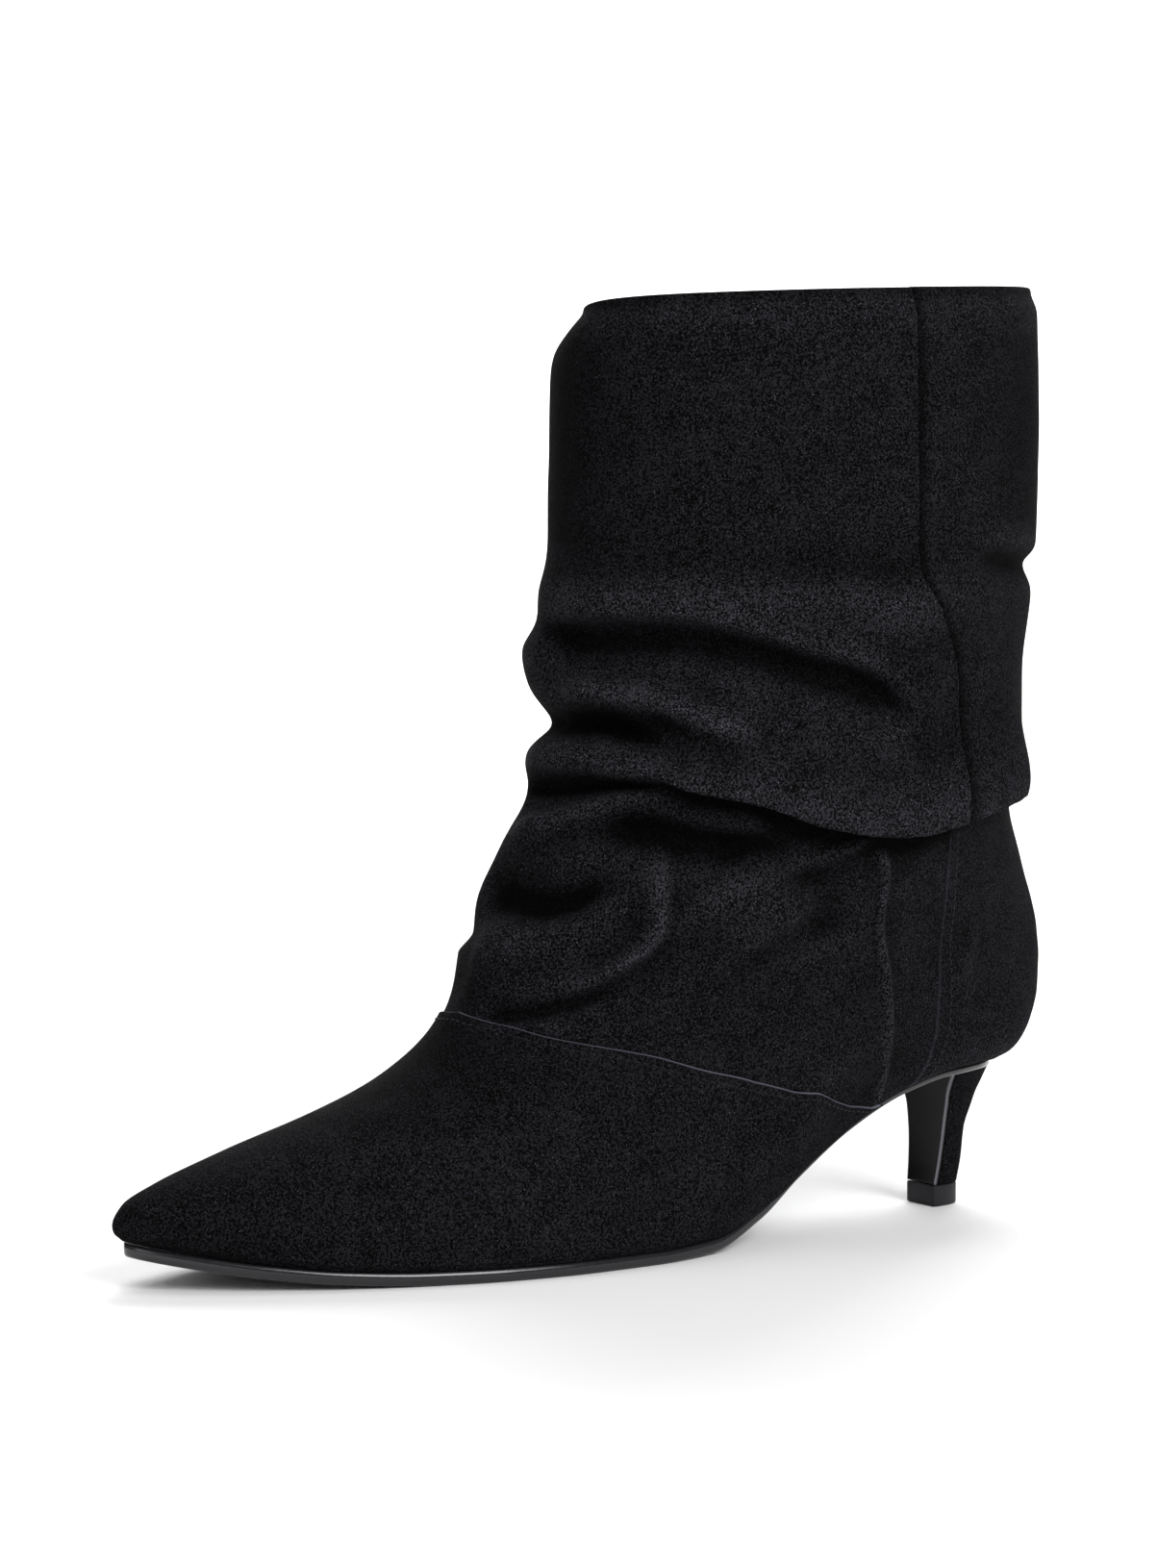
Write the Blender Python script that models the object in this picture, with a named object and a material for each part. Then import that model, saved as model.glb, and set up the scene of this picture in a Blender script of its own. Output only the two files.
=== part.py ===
"""Left slouch boot with a pointed toe and a low kitten heel, built in Blender at real size.

Boot sizes are in millimetres: s runs forward from the back of the heel to the toe, t runs out
to the wearer's left and z runs up from the floor. In the scene the toe points to -Y, the outer
side faces +X, and the origin is the middle of the whole boot's base.
"""

import math
from typing import Callable, NamedTuple

import bmesh
import bpy
import numpy as np

MM = 0.001

# Driving sizes of the boot, in millimetres.
LENGTH = 265.0
SEAT_BACK = 13.0
OUTSOLE_THICKNESS = 3.6
SEAT_THICKNESS = 2.2
WALL = 1.8
LAP = 0.9
BACK_LAP = 0.6
GAP = 0.3
INSOLE_THICKNESS = 2.0
TOE_SWING = -5.0
TOP_PIECE_THICKNESS = 5.6
BREAST_THICKNESS = 1.0
TURN_LENGTH = 350.0
SHARPEST_FOLD = 5.2
SMALLEST_FOLD = 2.0
FOLD_TAPER = 0.22
RIM_LEAN = 1.8
RIM_REACH = 0.15
CORNER_LEAN = 8.5
CORNER_TURN = -0.13
CORNER_SPREAD = 0.12
CORNER_REACH = 0.45
CORNER_DROP = 3.0
SWING_START = 150.0
FULLNESS_BACK = 0.86
WAIST_BACK = 60.0
WAIST_RUN = 60.0
LAP_END = 0.345
LAP_RAMP = 0.02
LAP_RISE = 0.6
SOLE_SET_IN = 0.4
ORIGIN_S = 133.0

# Mesh counts.
PANEL_COLUMNS = 27
BACK_COLUMNS = 20
FOOT_ROWS = 8
PLATE_STATIONS = 44
PLATE_ACROSS = 4
HEEL_SIDES = 20


class SolePoint(NamedTuple):
    """Half widths of the sole and height of its underside at one place along the boot."""

    s: float
    outer: float
    inner: float
    under: float


# The sole from the toe back to the seat: toe spring, tread, waist and seat.
SOLE = (
    SolePoint(265.0, -5.0, 5.0, 8.4),
    SolePoint(260.0, 1.8, 10.6, 7.2),
    SolePoint(251.0, 8.2, 16.2, 5.4),
    SolePoint(238.0, 15.6, 22.4, 3.2),
    SolePoint(220.0, 23.6, 29.0, 1.2),
    SolePoint(200.0, 30.2, 34.2, 0.2),
    SolePoint(180.0, 34.8, 36.4, 0.0),
    SolePoint(160.0, 36.6, 35.4, 0.0),
    SolePoint(140.0, 35.8, 31.8, 0.0),
    SolePoint(122.0, 32.8, 26.8, 0.8),
    SolePoint(105.0, 28.8, 22.4, 6.8),
    SolePoint(90.0, 25.6, 19.8, 16.0),
    SolePoint(72.0, 23.6, 19.2, 26.2),
    SolePoint(54.0, 22.8, 20.2, 33.6),
    SolePoint(38.0, 21.4, 20.2, 36.8),
    SolePoint(26.0, 17.8, 17.4, 37.2),
    SolePoint(17.5, 11.4, 11.4, 36.9),
    SolePoint(13.0, 0.0, 0.0, 36.6),
)


class Level(NamedTuple):
    """One closed ring of the upper, from the feather edge at the sole to the collar."""

    front_s: float
    front_z: float
    back_s: float
    back_z: float
    outer: float
    inner: float
    wide_s: float
    round_plan: float
    straight: float


# Rings of the upper. The first lies on the sole; each next one is higher on the front and back lines.
LEVELS = (
    Level(265.0, 12.0, 13.0, 38.8, 36.6, 36.4, 150.0, 0.00, 0.00),
    Level(266.4, 15.5, 7.0, 42.4, 37.9, 37.6, 148.0, 0.10, 0.00),
    Level(264.0, 19.5, 2.6, 49.0, 38.8, 38.4, 144.0, 0.25, 0.02),
    Level(255.0, 24.0, 0.4, 57.0, 38.9, 38.4, 138.0, 0.50, 0.06),
    Level(238.0, 29.8, 0.2, 65.0, 38.4, 37.6, 130.0, 0.80, 0.16),
    Level(216.0, 36.4, 1.4, 73.0, 37.8, 36.8, 118.0, 1.00, 0.34),
    Level(195.0, 44.4, 4.4, 81.0, 38.2, 37.0, 104.0, 1.00, 0.60),
    Level(180.0, 54.4, 7.4, 89.0, 40.0, 38.6, 92.0, 1.00, 0.84),
    Level(170.5, 69.0, 9.6, 97.0, 43.2, 41.6, 84.0, 1.00, 1.00),
    Level(165.5, 85.0, 11.0, 106.0, 46.6, 45.0, 80.0, 1.00, 1.00),
    Level(157.5, 99.0, 12.4, 115.0, 49.6, 48.2, 78.0, 1.00, 1.00),
    Level(151.0, 113.0, 12.8, 124.0, 51.8, 50.6, 77.0, 1.00, 1.00),
    Level(147.0, 129.0, 13.0, 137.0, 53.0, 52.2, 76.5, 1.00, 1.00),
    Level(144.5, 147.0, 12.6, 152.0, 53.4, 53.0, 76.0, 1.00, 1.00),
    Level(142.0, 165.0, 12.0, 168.0, 53.4, 53.4, 75.5, 1.00, 1.00),
    Level(141.4, 190.0, 11.2, 192.0, 54.0, 54.0, 75.5, 1.00, 1.00),
    Level(141.2, 214.0, 11.6, 216.0, 54.0, 54.0, 75.5, 1.00, 1.00),
    Level(141.0, 234.6, 11.6, 239.0, 53.4, 53.4, 75.5, 1.00, 1.00),
)


def smooth_table(at: np.ndarray, knots: np.ndarray, values: np.ndarray) -> np.ndarray:
    """Interpolate a table with a monotone cubic.

    Args:
        at: places to read the table at.
        knots: rising places of the table's rows.
        values: the column's value in each row.

    Returns:
        The column's value at each place.
    """
    knots = np.asarray(knots, float)
    values = np.asarray(values, float)
    span = np.diff(knots)
    slope = np.diff(values) / span
    tangent = np.zeros_like(values)
    weight_a = 2.0 * span[1:] + span[:-1]
    weight_b = span[1:] + 2.0 * span[:-1]
    same = slope[1:] * slope[:-1] > 0.0
    safe_a = np.where(same, slope[:-1], 1.0)
    safe_b = np.where(same, slope[1:], 1.0)
    mean = (weight_a + weight_b) / (weight_a / safe_a + weight_b / safe_b)
    tangent[1:-1] = np.where(same, mean, 0.0)
    tangent[0] = slope[0]
    tangent[-1] = slope[-1]
    at = np.clip(at, knots[0], knots[-1])
    row = np.clip(np.searchsorted(knots, at) - 1, 0, len(span) - 1)
    x = (at - knots[row]) / span[row]
    h = span[row]
    return (
        values[row] * (1 + 2 * x) * (1 - x) ** 2
        + tangent[row] * h * x * (1 - x) ** 2
        + values[row + 1] * x * x * (3 - 2 * x)
        + tangent[row + 1] * h * x * x * (x - 1)
    )


def column(rows: tuple, name: str) -> np.ndarray:
    """Return one named column of a table as an array."""
    return np.array([getattr(row, name) for row in rows])


def sole_angle(s: np.ndarray) -> np.ndarray:
    """Turn a place along the sole into an angle that is 0 at the toe and pi at the seat."""
    middle = 0.5 * (LENGTH + SEAT_BACK)
    half = 0.5 * (LENGTH - SEAT_BACK)
    return np.arccos(np.clip((np.asarray(s, float) - middle) / half, -1.0, 1.0))


def sole_plan(angle: np.ndarray) -> tuple[np.ndarray, np.ndarray]:
    """Return s and t of the sole's outline at angles from 0 (toe) round the outer side to 2 pi."""
    folded = np.where(angle > math.pi, 2 * math.pi - angle, angle)
    knots = sole_angle(column(SOLE, "s"))
    outer = smooth_table(folded, knots, column(SOLE, "outer"))
    inner = -smooth_table(folded, knots, column(SOLE, "inner"))
    s = 0.5 * (LENGTH + SEAT_BACK) + 0.5 * (LENGTH - SEAT_BACK) * np.cos(folded)
    return s, np.where(angle > math.pi, inner, outer)


def sole_under(s: np.ndarray) -> np.ndarray:
    """Return the height of the sole's underside along the boot."""
    rows = SOLE[::-1]
    return smooth_table(s, column(rows, "s"), column(rows, "under"))


def sole_thickness(s: np.ndarray) -> np.ndarray:
    """Return the outsole's thickness: full under the tread, thinner along the waist and seat."""
    waist = np.clip((np.asarray(s, float) - WAIST_BACK) / WAIST_RUN, 0.0, 1.0)
    return SEAT_THICKNESS + (OUTSOLE_THICKNESS - SEAT_THICKNESS) * waist * waist * (3 - 2 * waist)


def toe_swing(s: np.ndarray) -> np.ndarray:
    """Return how far the boot's middle line leans to the inner side near the toe."""
    forward = np.clip((s - SWING_START) / (LENGTH - SWING_START), 0.0, 1.1)
    return TOE_SWING * forward * forward


def base_surface(angle: np.ndarray, level: np.ndarray) -> np.ndarray:
    """Return points of the upper's outer face without its folds.

    Args:
        angle: 0 at the toe, half pi on the outer side, pi at the heel.
        level: 0 at the sole, rising by one for each row of LEVELS.

    Returns:
        Points as (..., 3) values of s, t and z.
    """
    knots = np.arange(len(LEVELS))
    read = {name: smooth_table(level, knots, column(LEVELS, name)) for name in Level._fields}
    cosine = np.cos(angle)
    sine = np.sin(angle)
    reach = np.where(cosine > 0, read["front_s"] - read["wide_s"], read["wide_s"] - read["back_s"])
    oval_s = read["wide_s"] + reach * cosine
    width = np.where(sine > 0, read["outer"], read["inner"])
    fullness = np.where(cosine > 0, 1.0, FULLNESS_BACK)
    oval_t = np.sign(sine) * width * np.abs(sine) ** fullness + toe_swing(oval_s)
    sole_s, sole_t = sole_plan(angle)
    along = (sole_s - SEAT_BACK) / (LENGTH - SEAT_BACK)
    foot_s = read["back_s"] + (read["front_s"] - read["back_s"]) * along
    foot_t = sole_t * width / np.where(sine > 0, LEVELS[0].outer, LEVELS[0].inner)
    mix = read["round_plan"]
    s = foot_s + (oval_s - foot_s) * mix
    t = foot_t + (oval_t - foot_t) * mix
    along = (s - read["back_s"]) / (read["front_s"] - read["back_s"])
    feather = sole_under(sole_s) + sole_thickness(sole_s)
    lift_front = read["front_z"] - (sole_under(LENGTH) + sole_thickness(LENGTH))
    lift_back = read["back_z"] - (sole_under(SEAT_BACK) + sole_thickness(SEAT_BACK))
    soft_z = feather + lift_back + (lift_front - lift_back) * along
    line_z = read["back_z"] + (read["front_z"] - read["back_z"]) * along
    z = soft_z + (line_z - soft_z) * read["straight"]
    return np.stack([s, t, z], axis=-1)


class Fold(NamedTuple):
    """A soft ridge or trough along a path of (turn, height) places on the upper.

    Turns run from 0 at the toe through 0.25 on the outer side and 0.5 at the heel; the inner
    side has negative turns. A positive push is a ridge. The widths are those on the left and
    right of the path as it is walked, so above and below a path that runs to larger turns. The
    droop is how far the crest hangs down, as a share of its push. The taper is the share of the
    path over which the fold dies away at each end.
    """

    path: tuple
    push: float
    above: float
    below: float
    droop: float = 0.0
    taper: float = FOLD_TAPER


FOLDS = (
    # Outer side and front, from the top band down to the vamp.
    Fold(((-0.12, 163), (0.0, 161), (0.12, 162), (0.25, 160), (0.32, 163)), 2.4, 6, 8),
    Fold(((-0.25, 149), (-0.17, 148), (-0.10, 147), (-0.04, 147), (0.02, 148)), 4.2, 6, 9, 0.0, 0.3),
    Fold(((-0.04, 153), (0.04, 154.5), (0.10, 154), (0.14, 151), (0.18, 146), (0.22, 141), (0.25, 129)),
         -6.0, 2.0, 7.5, 0.0, 0.14),
    Fold(((-0.01, 140), (0.03, 139), (0.07, 138), (0.11, 135), (0.16, 129)), 3.6, 3.0, 2.6, 0.3),
    Fold(((-0.30, 131), (-0.22, 130), (-0.15, 129), (-0.08, 129.5), (0.0, 131)), -9.5, 5.0, 4.5, 0.0, 0.35),
    Fold(((-0.06, 131), (0.0, 131.5), (0.04, 132), (0.07, 130), (0.10, 126)), -5.0, 2.2, 3.4, 0.0, 0.3),
    Fold(((-0.06, 121), (0.0, 122.5), (0.06, 121.5), (0.12, 117)), 4.2, 4.5, 3.0, 0.4, 0.35),
    Fold(((-0.04, 113), (0.015, 116), (0.06, 117.5), (0.12, 116.5)), -3.8, 2.0, 2.4, 0.0, 0.3),
    Fold(((-0.26, 107), (-0.17, 108), (-0.09, 110), (-0.02, 113)), -8.0, 5.0, 5.0, 0.0, 0.35),
    Fold(((0.08, 122), (0.12, 119), (0.16, 116), (0.20, 111), (0.25, 108.5), (0.31, 112), (0.40, 118)),
         5.2, 13, 2.0, 0.8, 0.12),
    Fold(((0.28, 172), (0.34, 170.5), (0.42, 169), (0.52, 168)), -3.2, 3.0, 4.5, 0.0, 0.25),
    Fold(((0.27, 144), (0.34, 142), (0.42, 141), (0.54, 141)), -1.8, 20, 18, 0.0, 0.3),
    Fold(((0.27, 103), (0.34, 105), (0.42, 107), (0.54, 107)), -3.6, 9, 12, 0.0, 0.3),
    Fold(((-0.04, 102), (0.02, 107), (0.07, 112), (0.115, 115.5)), 3.2, 3, 3.4, 0.0, 0.3),
    Fold(((0.05, 110), (0.085, 107.5), (0.115, 105), (0.16, 102), (0.20, 99)), -4.2, 3.0, 6.5, 0.0, 0.3),
    Fold(((-0.06, 90), (0.0, 89), (0.053, 88), (0.085, 92), (0.112, 98)), -5.0, 7, 5.5, 0.0, 0.3),
    Fold(((0.10, 104), (0.117, 97), (0.128, 89), (0.132, 81), (0.124, 75), (0.105, 69), (0.08, 65)),
         2.8, 2.4, 3.2, 0.0, 0.3),
    Fold(((0.02, 62), (0.06, 61.5), (0.10, 64.5), (0.125, 70)), -2.6, 3.0, 2.4, 0.0, 0.3),
    Fold(((-0.04, 74), (0.02, 76), (0.07, 77)), 2.0, 6, 7, 0.0, 0.4),
    Fold(((0.15, 95), (0.18, 88), (0.21, 79)), 2.4, 9, 10),
    Fold(((0.195, 100), (0.215, 92), (0.228, 84), (0.235, 74)), -2.4, 5, 5),
    Fold(((0.19, 96), (0.212, 98), (0.236, 105)), 1.6, 2, 2.4),
    Fold(((0.237, 101), (0.249, 95), (0.26, 84), (0.274, 75), (0.297, 64), (0.322, 51), (0.34, 31)),
         0.9, 1.0, 1.2, 0.0, 0.06),
    Fold(((0.351, 84), (0.358, 72), (0.366, 61), (0.372, 52)), 0.8, 2.4, 2.4, 0.0, 0.4),
    # Inner side, as the pair's other boot shows it.
    Fold(((-0.09, 160), (-0.15, 165), (-0.25, 168), (-0.36, 168), (-0.47, 165)), 3.4, 2.0, 12, -0.4),
    Fold(((-0.04, 106), (-0.12, 104), (-0.20, 102), (-0.27, 98), (-0.34, 92)), -4.0, 4, 6),
    Fold(((-0.02, 74), (-0.08, 75), (-0.15, 79), (-0.25, 83), (-0.33, 88), (-0.42, 98), (-0.49, 107)),
         4.0, 11, 2.0, 0.6, 0.12),
)


def walk_path(path: tuple, steps: int = 8) -> np.ndarray:
    """Return a smooth line of (turn length, height) points, in millimetres, through a fold's path."""
    points = np.array(path, float) * (TURN_LENGTH, 1.0)
    ends = np.vstack([2 * points[0] - points[1], points, 2 * points[-1] - points[-2]])
    x = np.linspace(0.0, 1.0, steps, endpoint=False)[:, None]
    line = []
    for a, b, c, d in zip(ends[:-3], ends[1:-2], ends[2:-1], ends[3:]):
        line.append(b + 0.5 * x * (c - a + x * (2 * a - 5 * b + 4 * c - d + x * (3 * (b - c) + d - a))))
    return np.vstack(line + [points[-1:]])


def fold_bump(turn: np.ndarray, height: np.ndarray, fold: Fold) -> np.ndarray:
    """Return one fold's height, from 0 to 1, at places given by turn and height."""
    line = walk_path(fold.path)
    steps = np.diff(line, axis=0)
    lengths = np.hypot(steps[:, 0], steps[:, 1])
    share = np.concatenate([[0.0], np.cumsum(lengths)]) / lengths.sum()
    bump = np.zeros_like(height)
    for wrap in (-1.0, 0.0, 1.0):
        place = np.stack([(turn + wrap) * TURN_LENGTH, height], axis=-1)
        nearest = np.full(height.shape, 1.0e9)
        side = np.zeros_like(height)
        at = np.zeros_like(height)
        for start, step, length, low, high in zip(line[:-1], steps, lengths, share[:-1], share[1:]):
            offset = place - start
            along = np.clip((offset @ step) / length**2, 0.0, 1.0)
            away = offset - along[..., None] * step
            distance = np.hypot(away[..., 0], away[..., 1])
            closer = distance < nearest
            nearest = np.where(closer, distance, nearest)
            side = np.where(closer, step[0] * offset[..., 1] - step[1] * offset[..., 0], side)
            at = np.where(closer, low + along * (high - low), at)
        width = np.where(side > 0.0, max(fold.above, SHARPEST_FOLD), max(fold.below, SHARPEST_FOLD))
        taper = np.clip(np.minimum(at, 1.0 - at) / fold.taper, 0.0, 1.0)
        bump += taper * taper * (3.0 - 2.0 * taper) * np.exp(-((nearest / width) ** 2))
    return bump


def upper_push(angle: np.ndarray, level: np.ndarray, height: np.ndarray) -> tuple[np.ndarray, np.ndarray]:
    """Return how far the folds and the collar's lean push the upper out, and how far it sinks, in mm."""
    turn = angle / (2 * math.pi)
    turn = turn - np.round(turn)
    corner = np.exp(-(((turn - CORNER_TURN) / CORNER_SPREAD) ** 2))
    below_rim = len(LEVELS) - 1.0 - level
    deep = corner * np.exp(-((below_rim / CORNER_REACH) ** 2))
    push = -RIM_LEAN * np.exp(-((below_rim / RIM_REACH) ** 2)) - CORNER_LEAN * deep
    sink = CORNER_DROP * deep
    for fold in FOLDS:
        if abs(fold.push) >= SMALLEST_FOLD:
            bump = fold_bump(turn, height, fold)
            push = push + fold.push * bump
            sink = sink + fold.push * fold.droop * bump
    return push, sink


def outward(points_at: Callable, angle: np.ndarray, level: np.ndarray) -> np.ndarray:
    """Return unit normals of a surface that is a function of angle and level."""
    step = 1.0e-3
    top = len(LEVELS) - 1.0
    across = points_at(angle + step, level) - points_at(angle - step, level)
    upward = points_at(angle, np.minimum(level + step, top)) - points_at(angle, np.maximum(level - step, 0.0))
    normal = np.cross(across, upward)
    return normal / np.linalg.norm(normal, axis=-1, keepdims=True)


class EdgePoint(NamedTuple):
    """Where a panel's edge crosses the upper: turn from the toe and level of the ring."""

    turn: float
    level: float


# The vamp's edge, from the instep down to the sole at the waist; it is the same on both sides.
VAMP_EDGE = (
    EdgePoint(0.0, 7.42),
    EdgePoint(0.05, 7.28),
    EdgePoint(0.10, 6.92),
    EdgePoint(0.17, 6.28),
    EdgePoint(0.21, 5.76),
    EdgePoint(0.26, 5.1),
    EdgePoint(0.29, 4.35),
    EdgePoint(0.32, 2.3),
    EdgePoint(0.345, 0.50),
    EdgePoint(0.50, 0.50),
)

# The back panel's front edge, from the sole up to the collar; it is the same on both sides.
BACK_EDGE = (
    EdgePoint(0.365, 0.0),
    EdgePoint(0.359, 2.6),
    EdgePoint(0.349, 4.6),
    EdgePoint(0.325, 6.9),
    EdgePoint(0.306, 8.4),
    EdgePoint(0.296, 9.7),
    EdgePoint(0.291, 11.3),
    EdgePoint(0.283, 12.7),
    EdgePoint(0.266, 13.5),
    EdgePoint(0.250, 14.2),
    EdgePoint(0.247, 17.0),
)


class HeelRow(NamedTuple):
    """One level section of the heel: flat breast in front, round back."""

    height: float
    front_s: float
    back_s: float
    half_width: float


HEEL = (
    HeelRow(5.9, 33.4, 22.5, 5.8),
    HeelRow(12.0, 32.6, 21.3, 6.4),
    HeelRow(20.0, 32.0, 20.6, 7.3),
    HeelRow(26.0, 31.9, 18.4, 8.3),
    HeelRow(30.0, 32.4, 16.9, 9.6),
    HeelRow(33.0, 33.0, 15.6, 11.4),
    HeelRow(36.6, 34.0, 14.6, 14.4),
)


# Levels of the mesh rows above the vamp's edge; they lie close together where the shaft folds.
LEG_LEVELS = (
    7.42, 7.9, 8.4, 8.9, 9.3, 9.7, 10.05, 10.4, 10.75, 11.1, 11.45,
    11.8, 12.15, 12.5, 12.85, 13.2, 13.55, 13.9, 14.5, 15.3, 16.1, 16.6, 16.85, 17.0,
)
BLEND_LEVEL = 10.4

# Linear colours of the materials.
SUEDE = (0.0085, 0.0080, 0.0090)
SOLE_BLACK = (0.0100, 0.0100, 0.0110)
PATENT = (0.0060, 0.0060, 0.0065)
RUBBER = (0.0180, 0.0180, 0.0190)
LINING = (0.0300, 0.0270, 0.0250)


def clear_scene() -> None:
    """Remove the objects that a new Blender file starts with."""
    for old in list(bpy.data.objects):
        bpy.data.objects.remove(old, do_unlink=True)


def place(points: np.ndarray) -> np.ndarray:
    """Turn boot places (s, t, z) in millimetres into scene places in metres."""
    s, t, z = np.moveaxis(np.asarray(points, float), -1, 0)
    return np.stack([t, ORIGIN_S - s, z], axis=-1) * MM


def make_material(name: str, colour: tuple, roughness: float) -> bpy.types.Material:
    """Make a plain non-metal material from a linear colour and a roughness."""
    material = bpy.data.materials.new(name)
    material.use_nodes = True
    shader = material.node_tree.nodes["Principled BSDF"]
    shader.inputs["Base Color"].default_value = (*colour, 1.0)
    shader.inputs["Roughness"].default_value = roughness
    shader.inputs["Metallic"].default_value = 0.0
    return material


def make_object(name: str, points: np.ndarray, faces: list, material: bpy.types.Material) -> None:
    """Make one closed, smooth-shaded object from boot places and faces.

    Args:
        name: the object's name.
        points: vertices as rows of s, t and z; equal vertices are joined.
        faces: tuples of vertex numbers, seen from outside.
        material: the object's material.
    """
    mesh = bpy.data.meshes.new(name)
    mesh.from_pydata(place(points).tolist(), [], faces)
    work = bmesh.new()
    work.from_mesh(mesh)
    bmesh.ops.remove_doubles(work, verts=work.verts, dist=1.0e-7)
    bmesh.ops.dissolve_degenerate(work, dist=1.0e-7, edges=work.edges)
    bmesh.ops.triangulate(work, faces=work.faces)
    work.to_mesh(mesh)
    work.free()
    mesh.materials.append(material)
    mesh.shade_smooth()
    mesh.set_sharp_from_angle(angle=math.radians(40.0))
    made = bpy.data.objects.new(name, mesh)
    bpy.context.scene.collection.objects.link(made)


def ring_strip(low: int, high: int, count: int) -> list:
    """Return quads between two closed rings of vertices that start at two vertex numbers."""
    step = [(i, (i + 1) % count) for i in range(count)]
    return [(low + i, low + j, high + j, high + i) for i, j in step]


def upper_grid() -> tuple[np.ndarray, np.ndarray, np.ndarray]:
    """Lay the upper's vertices out with a double row and two double columns on the panel edges.

    Returns:
        Angles and levels of the vertices, and how far the lapped panels stand out there, in mm.
    """
    front = np.linspace(0.0, 1.0, PANEL_COLUMNS + 1)
    back = np.linspace(0.0, 1.0, BACK_COLUMNS + 1)
    top = len(LEVELS) - 1.0
    rows = []
    for share in np.linspace(0.0, 1.0, FOOT_ROWS + 1):
        rows.append((share, None))
    for target in LEG_LEVELS:
        rows.append((None, target))
    grids = []
    for share, target in rows:
        level = np.full(2 * len(front) + len(back) - 1, 0.0 if target is None else target)
        for _ in range(12):
            split = smooth_table(level, column(BACK_EDGE, "level"), column(BACK_EDGE, "turn"))
            first = front * split[: len(front)]
            second = split[len(front) : len(front) + len(back)]
            second = second + (1.0 - 2.0 * second) * back
            third = 1.0 - front[::-1][:-1] * split[len(front) + len(back) :]
            turn = np.concatenate([first, second, third])
            folded = np.minimum(turn, 1.0 - turn)
            edge = smooth_table(folded, column(VAMP_EDGE, "turn"), column(VAMP_EDGE, "level"))
            if target is None:
                level = edge * share
            else:
                rise = np.clip((target - LEG_LEVELS[0]) / (BLEND_LEVEL - LEG_LEVELS[0]), 0.0, 1.0)
                rise = rise * rise * (3.0 - 2.0 * rise)
                level = np.clip(target + (edge - LEG_LEVELS[0]) * (1.0 - rise), 0.0, top)
        vamp = 0.0 if share is None else LAP * np.clip((LAP_END - folded) / LAP_RAMP, 0.0, 1.0)
        number = np.arange(len(turn))
        behind = (number >= len(front)) & (number < len(front) + len(back))
        lap = np.maximum(vamp, BACK_LAP * behind) * np.clip(level / LAP_RISE, 0.0, 1.0)
        grids.append((2 * math.pi * turn, level, lap))
    angles, levels, lap = (np.stack(part) for part in zip(*grids))
    return angles, levels, lap


def build_upper(material: bpy.types.Material) -> None:
    """Build the hollow upper, with the vamp's and back panel's edges as steps in its wall."""
    angles, levels, lap = upper_grid()
    base = base_surface(angles, levels)
    normal = outward(base_surface, angles, levels)
    push, sink = upper_push(angles, levels, base[..., 2])
    base[..., 2] -= sink
    outer = base + normal * (push + lap)[..., None]
    inner = base + normal * (push - WALL)[..., None]
    rows, count = angles.shape
    points = np.concatenate([outer.reshape(-1, 3), inner.reshape(-1, 3)])
    faces = []
    for row in range(rows - 1):
        faces += ring_strip(row * count, (row + 1) * count, count)
        faces += ring_strip((rows + row + 1) * count, (rows + row) * count, count)
    faces += ring_strip((rows - 1) * count, (2 * rows - 1) * count, count)
    faces += ring_strip(rows * count, 0, count)
    make_object("upper", points, faces, material)


def inset_plan(angle: np.ndarray, inset: float) -> tuple[np.ndarray, np.ndarray]:
    """Return the sole's outline moved in by a distance along its own normal."""
    step = 1.0e-3
    s, t = sole_plan(np.mod(angle, 2 * math.pi))
    ahead_s, ahead_t = sole_plan(np.mod(angle + step, 2 * math.pi))
    behind_s, behind_t = sole_plan(np.mod(angle - step, 2 * math.pi))
    along_s = ahead_s - behind_s
    along_t = ahead_t - behind_t
    length = np.hypot(along_s, along_t)
    return s - inset * along_t / length, t + inset * along_s / length


def build_plate(name: str, inset: float, lift: Callable, top: Callable, material: bpy.types.Material) -> None:
    """Build a plate that follows the last's bottom, from cross lines between its two edges.

    Args:
        name: the object's name.
        inset: how far its outline lies inside the sole's outline.
        lift: height of its lower face as a function of s.
        top: height of its upper face as a function of s.
        material: the object's material.
    """
    angle = np.linspace(0.0, math.pi, PLATE_STATIONS + 1)
    outer_s, outer_t = inset_plan(angle, inset)
    inner_s, inner_t = inset_plan(2 * math.pi - angle, inset)
    share = np.linspace(0.0, 1.0, PLATE_ACROSS + 1)[None, :]
    s = outer_s[:, None] * (1 - share) + inner_s[:, None] * share
    t = outer_t[:, None] * (1 - share) + inner_t[:, None] * share
    low = np.stack([s, t, lift(s)], axis=-1).reshape(-1, 3)
    high = np.stack([s, t, top(s)], axis=-1).reshape(-1, 3)
    across = PLATE_ACROSS + 1
    total = len(low)
    faces = []
    for station in range(PLATE_STATIONS):
        for cell in range(PLATE_ACROSS):
            a = station * across + cell
            b = a + across
            faces.append((a, a + 1, b + 1, b))
            faces.append((total + a, total + b, total + b + 1, total + a + 1))
        a = station * across
        b = a + across
        faces.append((a, b, total + b, total + a))
        faces.append((b + PLATE_ACROSS, a + PLATE_ACROSS, total + a + PLATE_ACROSS, total + b + PLATE_ACROSS))
    make_object(name, np.concatenate([low, high]), faces, material)


def heel_profile(height: np.ndarray) -> tuple[np.ndarray, np.ndarray, np.ndarray]:
    """Return the heel's breast, back and half width at given heights."""
    knots = column(HEEL, "height")
    names = ("front_s", "back_s", "half_width")
    return tuple(smooth_table(height, knots, column(HEEL, name)) for name in names)


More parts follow.
